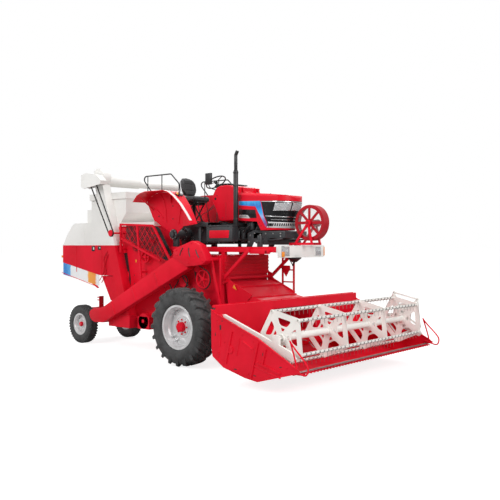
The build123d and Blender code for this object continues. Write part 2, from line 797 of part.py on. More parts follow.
def exhaust():
    pipe_body = rod((600, -420, 2400), (600, -420, 3350), 42)
    pipe_body += rod((600, -420, 3350), (600, -420, 3640), 30)
    pipe_body += rod((600, -420, 3630), (640, -420, 3700), 30)
    pipe_body += rod((600, -210, 2430), (600, -420, 2430), 36)
    return pipe_body


def battery_box():
    box = block(50, 650, -600, -450, 2135, 2400)
    box += block(100, 300, -450, -201, 2200, 2240)
    return box


def throat_cover():
    # Corrugated sheet that closes the thresher's front above the feeder house
    cover = block(body_front, body_front + 20, -571, 611, 1560, body_top)
    for step in range(5):
        z = 1590 + step * 62
        cover += block(body_front + 20, body_front + 40, -560, 600, z, z + 26)
    for y0, y1 in ((-cheek_right, -571), (611, cheek_left)):
        cheek = plate([(body_front, 1400), (body_front, 1600), (pivot_x + 50, 1560), (pivot_x + 50, 1440)], y0, y1)
        cover += cheek
    cover += disc(pivot_x, pivot_z, pivot_shaft, -cheek_right, cheek_left)
    return cover


def header_platform():
    # Bent sheet from the back wall round the auger trough and forward to the knife
    inner = header_half - side_sheet
    outer_radius = trough_radius + sheet
    wall_x = auger_x - outer_radius
    platform = block(wall_x, wall_x + sheet, -inner, inner, auger_z, back_top)
    platform += block(back_x, wall_x + sheet, -inner, inner, back_top, back_top + 25)
    trough = ring(auger_x, auger_z, outer_radius, trough_radius, -inner, inner)
    platform += trough & block(wall_x - 1, auger_x, -inner, inner, 0, auger_z)
    bottom = auger_z - outer_radius
    platform += plate([
        (auger_x, bottom), (floor_low_x, floor_low_z), (knife_x, knife_z - sheet), (knife_x, knife_z),
        (floor_low_x, floor_low_z + sheet), (auger_x, bottom + sheet),
    ], -inner, inner)
    platform -= block(wall_x - 10, wall_x + 10, feeder_right, feeder_left, feeder_mouth_low, feeder_mouth_high)
    beam = block(wall_x - 60, wall_x, -inner, inner, back_top - 90, back_top - 30)
    return platform + beam


def header_side():
    # Left-hand divider sheet with raised ribs and a pivot boss for the auger
    inner = header_half - side_sheet
    outline = [
        (1470, 1120), (1590, 1060), (2390, 770), (3080, 420), (3130, 392), (3110, 370), (2380, 162), (2140, 190),
        (1720, 290), (1500, 430), (1480, 560),
    ]
    side = plate(outline, inner, header_half)
    for start_x, start_z, end_x, end_z in rib_table:
        side += bar((start_x, header_half + rib_depth / 2, start_z), (end_x, header_half + rib_depth / 2, end_z),
                    rib_depth, 22)
    side += disc(auger_x, auger_z, 58, header_half, header_half + 14)
    # A peg carries the lowered reel arm
    heel = Vector(*arm_heel)
    along = (Vector(*arm_belly) - heel).normalized()
    rest = heel + along * 440 + Vector(along.Y, -along.X) * (rest_radius + seat_gap)
    side += disc(arm_pivot[0], arm_pivot[1], arm_pin, arm_y - 34, inner)
    side += disc(arm_pivot[0], arm_pivot[1], arm_pin + 12, arm_y + 23, inner)
    side += disc(rest.X, rest.Y, rest_radius, arm_y - 22, inner)
    side -= disc(auger_x, auger_z, auger_shaft + running_fit, inner - 1, header_half + 15)
    return side


def header_sides():
    return header_side() + left(header_side())


def divider_loops():
    # Round bar bent into a pointed loop at each divider's tip
    y = header_half - side_sheet - loop_bar
    x = front_reach - loop_bar
    loop = pipe([(2960, y, 760), (x, y, 500), (x - 10, y, 352), (3010, y, 392)], loop_bar, 30)
    loop += pipe([(2955, y, 765), (3060, y, 420), (2990, y, 400)], loop_bar, 20)
    return loop + left(loop)


def feeder_house():
    # Sloping box between the thresher's throat and the header, hung from the pivot shaft
    wall_x = auger_x - trough_radius - sheet
    house = plate([
        (throat_x, 1440), (790, 1366), (1120, 1200), (wall_x - 60, 1120), (wall_x - 60, feeder_mouth_low - 80),
        (1000, 620), (throat_x, 980),
    ], feeder_right, feeder_left)
    house += block(wall_x - 60, wall_x, feeder_right, feeder_left, feeder_mouth_low - 80, back_top - 90)
    cavity = plate([
        (throat_x - 1, 1434), (788, 1360), (1118, 1194), (wall_x + 1, feeder_mouth_high),
        (wall_x + 1, feeder_mouth_low), (1002, 626), (throat_x - 1, 986),
    ], feeder_right + sheet, feeder_left - sheet)
    house -= cavity
    for x, z in ((790, 1366), (1120, 1200)):
        house += block(x - 10, x + 30, feeder_right, feeder_left, z - 12, z + 14)
    for y0, y1 in ((feeder_right - 20, feeder_right), (feeder_left, feeder_left + 20)):
        house += plate([
            (620, 1460), (pivot_x, pivot_z + 45), (pivot_x - 40, pivot_z), (pivot_x + 10, 1400), (560, 1050),
            (920, 1070), (1110, 1240),
        ], y0, y1)
    house -= disc(pivot_x, pivot_z, pivot_shaft + running_fit, feeder_right - 30, feeder_left + 30)
    for side in (-1, 1):
        ears = plate([(ram_eye[0] - 60, 700), (ram_eye[0] + 60, 700), (ram_eye[0] + 30, ram_eye[1] - 30),
                      (ram_eye[0] - 30, ram_eye[1] - 30)], 18, 32)
        ears += Pos(0, -50, 0) * ears
        ears += disc(ram_eye[0], ram_eye[1], ram_pin, -32, 32)
        house += Pos(0, side * ram_y, 0) * ears - cavity
    return house


def cutter_bar():
    # Angle along the platform's front edge with pointed guards and the knife on top
    inner = header_half - side_sheet - loop_bar * 2 - 3
    cutter = block(knife_x, knife_x + 12, -inner, inner, knife_z - 30, knife_z)
    cutter += block(knife_x, knife_x + 40, -inner, inner, knife_z, knife_z + 6)
    count = int(2 * inner / guard_pitch)
    for step in range(count):
        y = (step - (count - 1) / 2) * guard_pitch
        guard = make_face(Polyline([
            (knife_x + 12, y - 16, knife_z), (knife_x + 60, y - 9, knife_z), (knife_x + 125, y, knife_z),
            (knife_x + 60, y + 9, knife_z), (knife_x + 12, y + 16, knife_z),
        ], close=True))
        cutter += extrude(guard, amount=22, dir=(0, 0, -1))
    return cutter


def table_auger():
    inner = header_half - side_sheet - 8
    auger = disc(auger_x, auger_z, auger_tube, -inner, inner)
    auger += disc(auger_x, auger_z, auger_shaft, -header_half - 10, header_half + 10)
    for side in (-1, 1):
        for step in range(14):
            y = side * (inner - 60 - step * 85)
            angle = side * step * 60
            wing = Pos(auger_x, y, auger_z) * Rot(0, angle, 0) * Rot(side * 16, 0, 0) * (
                Cylinder(auger_radius, 4, rotation=(90, 0, 0)) & Pos(0, 0, 160) * Box(600, 200, 320))
            auger += wing
    for step in range(10):
        y = -405 + step * 90
        tip = polar(auger_x, auger_z, auger_radius + 10, step * 108)
        auger += rod((auger_x, y, auger_z), (tip[0], y, tip[1]), 8)
    return auger


def reel_arms():
    # Box arms with a bearing block for the reel shaft, joined by a cross tube behind
    arms = Part()
    for side in (-1, 1):
        y = side * arm_y
        arm = plate([
            (arm_pivot[0] - 30, arm_pivot[1] + 20), (arm_pivot[0] + 40, arm_pivot[1] + 32),
            (arm_end[0] - 90, arm_end[1] + 70), (arm_end[0], arm_end[1] - 20), (arm_end[0] - 60, arm_end[1] - 70),
            arm_belly, arm_heel,
        ], y - 22, y + 22)
        arm += block(reel_x - 55, reel_x + 55, y - 22, y + 22, 690, reel_z + 50)
        arm -= disc(reel_x, reel_z, reel_shaft + running_fit, y - 30, y + 30)
        arm -= disc(arm_pivot[0], arm_pivot[1], arm_pin + running_fit, y - 30, y + 30)
        arms += arm
    # Fixed disc above the shaft's centre that the control ring turns on
    ring_inner = ring_y - 4 + seat_gap
    carrier = disc(reel_x, reel_z + crank_rise, eccentric_radius, ring_inner, ring_y + 4)
    carrier += disc(reel_x, reel_z + crank_rise, eccentric_radius - 40, ring_y + 4, arm_y - 22)
    carrier += disc(reel_x, reel_z, 46, ring_inner, arm_y - 22)
    arms += carrier - disc(reel_x, reel_z, reel_shaft + running_fit, ring_inner - 1, arm_y)
    return arms


def reel_frame():
    # Centre tube with pressed five-cornered plates that carry the bats
    reel = disc(reel_x, reel_z, 48, -reel_half, reel_half)
    reel += disc(reel_x, reel_z, reel_shaft, -arm_y - 22, arm_y + 22)
    turns = [first_bat + step * 360 / bat_count for step in range(bat_count)]
    for y in plate_places:
        corners = [polar(reel_x, reel_z, reel_radius + 38, turn) for turn in turns]
        spider = plate(corners, y - 3, y + 3)
        for step in range(bat_count):
            middle = first_bat + (step + 0.5) * 360 / bat_count
            window = [polar(reel_x, reel_z, radius, middle + turn) for radius, turn in
                      ((130, -24), (285, -25), (285, 25), (130, 24))]
            spider -= plate(window, y - 4, y + 4)
            x, z = polar(reel_x, reel_z, reel_radius, first_bat + step * 360 / bat_count)
            spider -= disc(x, z, bat_tube + running_fit, y - 4, y + 4)
        reel += spider
    return reel


def bat(index):
    # Tube with spring tines that hang down, and a crank at its left end
    x, z = polar(reel_x, reel_z, reel_radius, first_bat + index * 360 / bat_count)
    tube = disc(x, z, bat_tube, -reel_half + 3, ring_y - 4)
    tube += block(x - 9, x + 9, ring_y - 16, ring_y - 4, z, z + crank_rise + 12)
    tube += disc(x, z + crank_rise, crank_pin, ring_y - 16, ring_y + 6)
    count = int(2 * reel_half / tine_pitch) - 1
    for step in range(count):
        y = (step - (count - 1) / 2) * tine_pitch
        tube += block(x - 3, x + 3, y - 3, y + 3, z - tine_length, z)
    return tube


def reel_ring():
    # Control ring that turns about a centre above the reel's and holds the cranks upright
    z_mid = reel_z + crank_rise
    pins = [polar(reel_x, z_mid, reel_radius, first_bat + step * 360 / bat_count) for step in range(bat_count)]
    shape = Part()
    for step in range(bat_count):
        x, z = pins[step]
        shape += disc(x, z, 24, ring_y - 4 + seat_gap, ring_y + 4)
        other = pins[(step + 1) % bat_count]
        shape += bar((x, ring_y, z), (other[0], ring_y, other[1]), 6, 26)
        shape += bar((reel_x, ring_y, z_mid), (x, ring_y, z), 6, 34)
    shape += disc(reel_x, z_mid, eccentric_radius + 28, ring_y - 4 + seat_gap, ring_y + 4)
    shape -= disc(reel_x, z_mid, eccentric_radius + running_fit, ring_y - 20, ring_y + 20)
    for x, z in pins:
        shape -= disc(x, z, crank_pin + running_fit, ring_y - 20, ring_y + 20)
    return shape


def ram_run():
    return Vector(ram_eye[0] - ram_base[0], 0, ram_eye[1] - ram_base[1]).normalized()


def lift_barrels():
    along = ram_run()
    base = Vector(ram_base[0], 0, ram_base[1])
    barrel = rod(base + along * 52, base + along * 560, 34)
    barrel += rod(base + along * 20, base + along * 60, 15)
    barrel += disc(ram_base[0], ram_base[1], 32, -17, 17)
    barrel -= rod(base + along * 60, base + along * 561, ram_rod + running_fit)
    barrel -= disc(ram_base[0], ram_base[1], ram_pin + running_fit, -20, 20)
    return Pos(0, ram_y, 0) * barrel + Pos(0, -ram_y, 0) * barrel


def lift_rods():
    along = ram_run()
    base = Vector(ram_base[0], 0, ram_base[1])
    eye = Vector(ram_eye[0], 0, ram_eye[1])
    ram = rod(base + along * 130, eye - along * 55, ram_rod)
    ram += rod(eye - along * 60, eye - along * 26, 14)
    ram += disc(ram_eye[0], ram_eye[1], 36, -17, 17)
    ram -= disc(ram_eye[0], ram_eye[1], ram_pin + ram_drift, -20, 20)
    return Pos(0, ram_y, 0) * ram + Pos(0, -ram_y, 0) * ram


def wheel(shape, x, y, z, side):
    # Wheels are drawn with their outer face towards +Y
    return Pos(x, y, z) * shape if side > 0 else left(Pos(x, y, z) * shape)


nodes = {
    "chassis_frame": chassis_frame(),
    "drive_axle": drive_axle(),
    "rear_axle": rear_axle(),
    "knuckle_left": knuckle(),
    "knuckle_right": left(knuckle()),
    "tie_rod": tie_rod(),
    "thresher_body": thresher_body(),
    "straw_hood_lower": straw_hood_lower(),
    "straw_hood_top": straw_hood_top(),
    "straw_skirt": straw_skirt(),
    "grain_tank": grain_tank(),
    "elevator_leg_lower": elevator_leg_lower(),
    "elevator_leg_upper": elevator_leg_upper(),
    "cross_auger_tube": cross_auger_tube(),
    "returns_elevator": returns_elevator(),
    "side_guard": side_guard(),
    "side_pulleys": side_pulleys(),
    "drive_belts": drive_belts(),
    "access_ladder": access_ladder(),
    "throat_cover": throat_cover(),
    "mount_frame": mount_frame(),
    "light_bar": light_bar(),
    "lamps": lamps(),
    "front_rotor": front_rotor(),
    "tractor_housing": tractor_housing(),
    "engine_block": engine_block(),
    "bonnet_shell": bonnet_shell(),
    "bonnet_grille": bonnet_grille(),
    "cowl": cowl(),
    "fenders": fenders(),
    "fender_rails": fender_rails(),
    "seat_frame": seat_frame(),
    "seat_cushions": seat_cushions(),
    "steering_column": steering_column(),
    "exhaust": exhaust(),
    "battery_box": battery_box(),
    "header_platform": header_platform(),
    "header_sides": header_sides(),
    "divider_loops": divider_loops(),
    "feeder_house": feeder_house(),
    "cutter_bar": cutter_bar(),
    "table_auger": table_auger(),
    "reel_arms": reel_arms(),
    "reel_frame": reel_frame(),
    "reel_ring": reel_ring(),
    "lift_barrels": lift_barrels(),
    "lift_rods": lift_rods(),
}
for index in range(bat_count):
    nodes["reel_bat_" + str(index + 1)] = bat(index)

tyre = drive_tyre()
rim = drive_rim() + drive_hub()
small_tyre = steer_tyre()
small_rim = steer_rim()
for side, name in ((1, "left"), (-1, "right")):
    nodes["drive_tyre_" + name] = wheel(tyre, 0, drive_y, drive_radius, side)
    nodes["drive_rim_" + name] = wheel(rim, 0, drive_y, drive_radius, side)
    nodes["steer_tyre_" + name] = wheel(small_tyre, -wheelbase, steer_y, steer_radius, side)
    nodes["steer_rim_" + name] = wheel(small_rim, -wheelbase, steer_y, steer_radius, side)

os.makedirs("parts", exist_ok=True)
for name, shape in nodes.items():
    export_step(Pos(origin_shift, 0, 0) * shape, "parts/" + name + ".step")
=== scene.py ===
import json
from math import cos, radians, sin, tau

import bmesh
import bpy
from mathutils import Matrix, Vector


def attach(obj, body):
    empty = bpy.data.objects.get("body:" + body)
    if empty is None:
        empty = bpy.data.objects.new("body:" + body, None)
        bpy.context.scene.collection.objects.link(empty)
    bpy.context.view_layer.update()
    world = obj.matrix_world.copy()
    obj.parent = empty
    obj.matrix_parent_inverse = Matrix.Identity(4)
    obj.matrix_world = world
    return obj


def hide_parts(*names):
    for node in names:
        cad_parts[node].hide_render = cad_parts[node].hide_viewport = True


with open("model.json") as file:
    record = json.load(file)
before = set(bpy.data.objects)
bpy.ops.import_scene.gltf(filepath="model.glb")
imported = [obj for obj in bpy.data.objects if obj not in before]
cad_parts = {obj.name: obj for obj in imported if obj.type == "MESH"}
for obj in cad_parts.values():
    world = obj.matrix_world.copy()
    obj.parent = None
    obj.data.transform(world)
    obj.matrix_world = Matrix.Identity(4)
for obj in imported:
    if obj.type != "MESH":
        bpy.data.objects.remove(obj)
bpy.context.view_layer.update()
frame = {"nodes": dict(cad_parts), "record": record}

axleX = 0.5825  # the drive axle's place; pieces are modelled from it and shifted at the end
sides = (-1, 1)
print("frame loaded")

# mesh helpers


def joinInto(target, part, matrix=None):
    if matrix is not None:
        bmesh.ops.transform(part, matrix=matrix, verts=part.verts)
    mesh = bpy.data.meshes.new("joined")
    part.to_mesh(mesh)
    part.free()
    target.from_mesh(mesh)
    bpy.data.meshes.remove(mesh)


def newParts(count):
    return [bmesh.new() for _ in range(count)]


def bevelBy(part, geom, width, segments=2, affect="EDGES"):
    bmesh.ops.bevel(part, geom=geom, offset=width, offset_type="OFFSET", segments=segments, profile=0.5,
                    affect=affect, clamp_overlap=True, material=-1)


def softenEdges(part, width, segments=2, angle=25):
    if width > 0:
        bmesh.ops.recalc_face_normals(part, faces=part.faces)
        bevelBy(part, [e for e in part.edges if len(e.link_faces) == 2 and e.calc_face_angle(0) > radians(angle)],
                width, segments)


def pushOut(part, shift):
    # gives flat faces their thickness
    grown = bmesh.ops.extrude_face_region(part, geom=list(part.faces))
    bmesh.ops.translate(part, vec=shift, verts=[v for v in grown["geom"] if isinstance(v, bmesh.types.BMVert)])


def thicken(part, thickness):
    bmesh.ops.solidify(part, geom=list(part.faces), thickness=thickness)


def splitBy(part, **plane):
    geom = list(part.verts) + list(part.edges) + list(part.faces)
    return bmesh.ops.bisect_plane(part, geom=geom, **plane)


def sideFace(part, points, y):
    return part.faces.new([part.verts.new((x, y, z)) for x, z in points])


def spinRound(part, steps, axis=(0, 1, 0), **rest):
    settings = {"angle": tau, "use_merge": True, "use_duplicate": False, "cent": (0, 0, 0), **rest}
    bmesh.ops.spin(part, geom=list(part.verts) + list(part.edges), axis=axis, steps=steps, **settings)


def newBlock(low, high):
    low, high = Vector(low), Vector(high)
    part = bmesh.new()
    bmesh.ops.create_cube(part, size=1.0)
    bmesh.ops.scale(part, vec=high - low, verts=part.verts)
    bmesh.ops.translate(part, vec=(low + high) / 2, verts=part.verts)
    return part


def addBox(bm, low, high, soft=0.003, matrix=None):
    part = newBlock(low, high)
    softenEdges(part, soft)
    joinInto(bm, part, matrix)


def addBoxes(bm, boxes, soft=0.004):
    for x0, x1, y0, y1, z0, z1 in boxes:
        addBox(bm, (x0, y0, z0), (x1, y1, z1), soft)


def between(start, end):
    # places an upright part between two points
    turn = Vector((0, 0, 1)).rotation_difference(end - start).to_matrix().to_4x4()
    return Matrix.Translation((start + end) / 2) @ turn


def addRod(bm, start, end, radius, tip=None, segments=16, soft=0.0):
    start, end = Vector(start), Vector(end)
    part = bmesh.new()
    bmesh.ops.create_cone(part, cap_ends=True, segments=segments, radius1=radius,
                          radius2=radius if tip is None else tip, depth=(end - start).length)
    softenEdges(part, soft, 2, 50)
    joinInto(bm, part, between(start, end))


def addRun(bm, points, y, radius):
    # thin rods from point to point in a plane of constant y
    for first, second in zip(points, points[1:]):
        addRod(bm, (first[0], y, first[1]), (second[0], y, second[1]), radius, segments=10)


def addBar(bm, start, end, width, depth, soft=0.002):
    # flat bar in a plane of constant y: its width lies along y
    start, end = Vector(start), Vector(end)
    half = Vector((depth, width, (end - start).length)) / 2
    part = newBlock(-half, half)
    softenEdges(part, soft)
    joinInto(bm, part, between(start, end))


def finishPlate(bm, part, depth, soft):
    pushOut(part, (0, depth, 0))
    softenEdges(part, soft)
    joinInto(bm, part)


def roundedFace(points, y, rounded):
    part = bmesh.new()
    sideFace(part, points, y)
    if rounded > 0:
        bevelBy(part, list(part.verts), rounded, 4, "VERTICES")
    return part


def hollowOut(part, width):
    inner = list(part.faces)
    bmesh.ops.inset_region(part, faces=inner, thickness=width, use_even_offset=True)
    bmesh.ops.delete(part, geom=inner, context="FACES")


def addPlate(bm, points, y0, y1, soft=0.0, rounded=0.0):
    # outline in x and z, given its thickness along y
    finishPlate(bm, roundedFace(points, y0, rounded), y1 - y0, soft)


def addFrame(bm, points, y0, y1, width, rounded=0.0, soft=0.0):
    # raised rim that follows an outline in x and z
    part = roundedFace(points, y0, rounded)
    hollowOut(part, width)
    finishPlate(bm, part, y1 - y0, soft)


def addTurned(bm, profile, centre, steps=64, closed=True, soft=0.0, tilt=None):
    # profile of (y, radius) pairs spun about a cross axis through the centre
    part = bmesh.new()
    verts = [part.verts.new((0, y, radius)) for y, radius in profile]
    for first, second in zip(verts, verts[1:] + verts[:1] if closed else verts[1:]):
        part.edges.new((first, second))
    spinRound(part, steps)
    bmesh.ops.remove_doubles(part, verts=part.verts, dist=0.00001)
    softenEdges(part, soft, 2, 50)
    place = Matrix.Translation(centre)
    joinInto(bm, part, place if tilt is None else place @ tilt)


def addBolt(bm, place, axis, radius=0.011, height=0.008):
    place, axis = Vector(place), Vector(axis).normalized()
    addRod(bm, place - axis * 0.002, place + axis * 0.002, radius * 1.35, segments=12)
    addRod(bm, place, place + axis * height, radius, segments=6)


def addSideBolts(bm, places, y, radius, height, toSides=sides):
    for side in toSides:
        for x, z in places:
            addBolt(bm, (x, side * y, z), (0, side, 0), radius, height)


def addHose(bm, points, radius, segments=5):
    # smooth tube through a few points, read from a NURBS curve
    curve = bpy.data.curves.new("hose", "CURVE")
    curve.dimensions = "3D"
    curve.bevel_depth = radius
    curve.bevel_resolution = segments // 2
    curve.resolution_u = 4
    spline = curve.splines.new("NURBS")
    spline.points.add(len(points) - 1)
    for point, place in zip(spline.points, points):
        point.co = (*place, 1.0)
    spline.order_u = 3
    spline.use_endpoint_u = True
    curve.use_fill_caps = True
    holder = bpy.data.objects.new("hose", curve)
    bpy.context.collection.objects.link(holder)
    bpy.context.view_layer.update()
    mesh = bpy.data.meshes.new_from_object(holder.evaluated_get(bpy.context.evaluated_depsgraph_get()))
    bm.from_mesh(mesh)
    bpy.data.meshes.remove(mesh)
    bpy.data.objects.remove(holder)
    bpy.data.curves.remove(curve)


def addForm(bm, look, soft=0.004):
    # boxes, cross discs, rods, bars, side plates and pipes listed in a piece's dictionary
    addBoxes(bm, look.get("boxes", ()), soft)
    for x, z, radius, y0, y1 in look.get("discs", ()):
        addRod(bm, (x, y0, z), (x, y1, z), radius, segments=36, soft=0.003)
    for start, end, radius in look.get("rods", ()):
        addRod(bm, start, end, radius, segments=24, soft=0.002)
    for start, end, width, depth in look.get("bars", ()):
        addBar(bm, start, end, width, depth, 0.004)
    for points, y0, y1 in look.get("plates", ()):
        addPlate(bm, points, y0, y1, soft)
    for points, radius in look.get("hoses", ()):
        addHose(bm, points, radius)


def linkMesh(name, bm):
    mesh = bpy.data.meshes.new(name)
    bm.to_mesh(mesh)
    bm.free()
    item = bpy.data.objects.new(name, mesh)
    bpy.context.collection.objects.link(item)
    return item


def finishPiece(name, bm, dress, body="chassis", node=None, angle=32):
    material, slotName = dresses[dress]
    bmesh.ops.remove_doubles(bm, verts=bm.verts, dist=0.00003)
    bmesh.ops.recalc_face_normals(bm, faces=bm.faces)
    bmesh.ops.translate(bm, vec=(axleX, 0, 0), verts=bm.verts)
    piece = linkMesh(name, bm)
    piece.data.materials.append(material)
    piece.data.shade_smooth()
    piece.data.set_sharp_from_angle(angle=radians(angle))
    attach(piece, body)
    if node is not None:
        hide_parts(node)
    return piece


def polarPoint(x, z, radius, angle):
    return (x + radius * cos(radians(angle)), z + radius * sin(radians(angle)))


# materials: each dress is a material with the slot that it stands for

dresses, slotDress = {}, {}


def addNode(tree, kind, inputs, output=0, **settings):
    # sockets are linked and plain values are set
    node = tree.nodes.new("ShaderNode" + kind)
    for key, value in settings.items():
        setattr(node, key, value)
    for key, value in inputs.items():
        if isinstance(value, bpy.types.NodeSocket):
            tree.links.new(value, node.inputs[key])
        else:
            node.inputs[key].default_value = value
    return node.outputs[output] if node.outputs else None


def newMaterial(name, slot, settings):
    material = bpy.data.materials.new(name)
    material.use_nodes = True
    tree = material.node_tree
    shader = tree.nodes["Principled BSDF"]
    for socket, value in settings.items():
        shader.inputs[socket].default_value = value
    dresses[name] = (material, slot)
    slotDress.setdefault(slot, material)
    return tree, shader, addNode(tree, "TexCoord", {}, "Object")


def noiseInto(tree, vector, scale, detail=4.0, rough=0.55, stretch=None):
    if stretch is not None:
        vector = addNode(tree, "Mapping", {"Vector": vector, "Scale": stretch}, "Vector")
    return addNode(tree, "TexNoise", {"Vector": vector, "Scale": scale, "Detail": detail, "Roughness": rough}, "Fac")


def rampInto(tree, factor, stops):
    ramp = tree.nodes.new("ShaderNodeValToRGB")
    elements = ramp.color_ramp.elements
    while len(elements) < len(stops):
        elements.new(0.5)
    for element, (place, colour) in zip(elements, stops):
        element.position = place
        element.color = (*colour, 1.0)
    tree.links.new(factor, ramp.inputs["Fac"])
    return ramp.outputs["Color"]


def rangeInto(tree, factor, low, high, fromLow=0.3, fromHigh=0.7):
    return addNode(tree, "MapRange", {"Value": factor, "From Min": fromLow, "From Max": fromHigh, "To Min": low,
                                      "To Max": high}, "Result")


def mixInto(tree, factor, first, second):
    return addNode(tree, "Mix", {0: factor, 6: first, 7: (*second, 1.0)}, 2, data_type="RGBA")


def shiftInto(tree, place, axis, waver, share):
    # a coordinate made uneven by some noise
    split = addNode(tree, "SeparateXYZ", {"Vector": place}, axis)
    return addNode(tree, "Math", {0: waver, 1: share, 2: split}, operation="MULTIPLY_ADD")


def finishShader(tree, shader, colour, rough, layers, rounding=0.0):
    # colour, roughness and layers of (height, strength, distance) stacked on softly rounded edges
    tree.links.new(colour, shader.inputs["Base Color"])
    tree.links.new(rough, shader.inputs["Roughness"])
    below = {"Normal": addNode(tree, "Bevel", {"Radius": rounding}, samples=4)} if rounding > 0 else {}
    for height, strength, distance in layers:
        bump = {"Strength": strength, "Distance": distance, "Height": height, **below}
        below = {"Normal": addNode(tree, "Bump", bump)}
    tree.links.new(below["Normal"], shader.inputs["Normal"])


def paintMaterial(name, look):
    tree, shader, place = newMaterial(name, look["slot"], {
        "Specular IOR Level": look["gloss"], "Coat Weight": look["coat"], "Coat Roughness": 0.12,
        "Metallic": look.get("metal", 0.0)})
    cloud = noiseInto(tree, place, look["patches"], 5.0)
    tone = rampInto(tree, cloud, [(0.3, look["dark"]), (0.62, look["colour"])])
    dusty = rangeInto(tree, noiseInto(tree, place, 48.0, 6.0, 0.7), 0.0, look["dust"], 0.52, 0.8)
    finishShader(tree, shader, mixInto(tree, dusty, tone, look["dustColour"]),
                 rangeInto(tree, cloud, look["rough"] - 0.05, look["rough"] + 0.07),
                 [(noiseInto(tree, place, 2.6, 1.0), look["wave"], 0.02),
                  (noiseInto(tree, place, 420.0, 2.0), 0.05, 0.0006)], 0.004)


def metalMaterial(name, colour, rough, grain):
    tree, shader, place = newMaterial(name, "steel", {"Metallic": 1.0})
    streaks = noiseInto(tree, place, 60.0, 5.0, 0.6, grain)
    dark = tuple(value * 0.7 for value in colour)
    finishShader(tree, shader, rampInto(tree, noiseInto(tree, place, 7.0, 4.0), [(0.3, dark), (0.65, colour)]),
                 rangeInto(tree, streaks, rough - 0.07, rough + 0.1), [(streaks, 0.08, 0.0005)], 0.0015)


def rubberMaterial(name, look):
    tree, shader, place = newMaterial(name, look["slot"], {"Specular IOR Level": 0.32, "Sheen Weight": 0.08})
    cloud = noiseInto(tree, place, look["patches"], 6.0, 0.62)
    fine = noiseInto(tree, place, 190.0, 5.0, 0.65)
    tone = rampInto(tree, cloud, [(0.3, look["dark"]), (0.68, look["colour"])])
    worn = rangeInto(tree, fine, 0.0, look["dust"], 0.5, 0.78)
    finishShader(tree, shader, mixInto(tree, worn, tone, look["dustColour"]),
                 rangeInto(tree, cloud, look["rough"] - 0.1, look["rough"] + 0.1),
                 [(cloud, 0.12, 0.004), (fine, 0.22, 0.0012)], 0.003)


def vinylMaterial():
    tree, shader, place = newMaterial("seatVinyl", "seat_cover", {"Specular IOR Level": 0.4, "Sheen Weight": 0.12})
    grain = addNode(tree, "TexVoronoi", {"Scale": 260.0, "Vector": place}, "Distance", feature="DISTANCE_TO_EDGE")
    cloud = noiseInto(tree, place, 11.0, 5.0)
    finishShader(tree, shader, rampInto(tree, cloud, [(0.3, (0.007, 0.007, 0.008)), (0.7, (0.019, 0.019, 0.02))]),
                 rangeInto(tree, cloud, 0.4, 0.58), [(noiseInto(tree, place, 30.0, 4.0), 0.15, 0.003),
                                                     (grain, 0.25, 0.001)])


def glossPlasticMaterial():
    tree, shader, place = newMaterial("glossBlack", "black_plastic", {"Specular IOR Level": 0.22})
    cloud = noiseInto(tree, place, 14.0, 5.0)
    finishShader(tree, shader, rampInto(tree, cloud, [(0.3, (0.007, 0.007, 0.008)), (0.7, (0.014, 0.014, 0.016))]),
                 rangeInto(tree, cloud, 0.16, 0.3), [(noiseInto(tree, place, 300.0, 2.0), 0.05, 0.0005)], 0.003)


def lensMaterial():
    tree, shader, place = newMaterial("clearLens", "lamp_glass", {
        "Transmission Weight": 0.25, "IOR": 1.46, "Coat Weight": 0.6, "Coat Roughness": 0.05})
    flutes = addNode(tree, "TexWave", {"Scale": 26.0, "Distortion": 0.4, "Vector": place}, "Fac", bands_direction="Y")
    cells = addNode(tree, "TexVoronoi", {"Scale": 44.0, "Vector": place}, "Distance")
    tone = rampInto(tree, cells, [(0.05, (0.92, 0.92, 0.9)), (0.45, (0.34, 0.35, 0.37)), (0.8, (0.7, 0.71, 0.72))])
    finishShader(tree, shader, tone, rangeInto(tree, cells, 0.06, 0.22, 0.0, 0.8),
                 [(flutes, 0.35, 0.002), (cells, 0.3, 0.002)])


def skirtMaterial():
    # pale hanging sheet with a blue and an orange end
    tree, shader, place = newMaterial("skirtSheet", "skirt_sheet", {"Specular IOR Level": 0.35, "Sheen Weight": 0.1})
    across = shiftInto(tree, place, "X", noiseInto(tree, place, 13.0, 4.0), 0.1)
    tone = rampInto(tree, rangeInto(tree, across, 0.0, 1.0, -3.86, -2.46), [
        (0.0, (0.05, 0.3, 0.72)), (0.12, (0.03, 0.22, 0.62)), (0.24, (0.1, 0.42, 0.8)), (0.27, (0.84, 0.86, 0.88)),
        (0.7, (0.88, 0.89, 0.9)), (0.72, (0.92, 0.4, 0.06)), (0.9, (0.85, 0.3, 0.05)), (0.93, (0.86, 0.87, 0.88))])
    stain = rangeInto(tree, noiseInto(tree, place, 30.0, 5.0), 0.0, 0.25, 0.5, 0.8)
    folds = noiseInto(tree, place, 9.0, 3.0, 0.5, (1.0, 1.0, 0.15))
    finishShader(tree, shader, mixInto(tree, stain, tone, (0.62, 0.6, 0.56)), rangeInto(tree, folds, 0.5, 0.7),
                 [(folds, 0.5, 0.02), (noiseInto(tree, place, 350.0, 2.0), 0.15, 0.0006)])


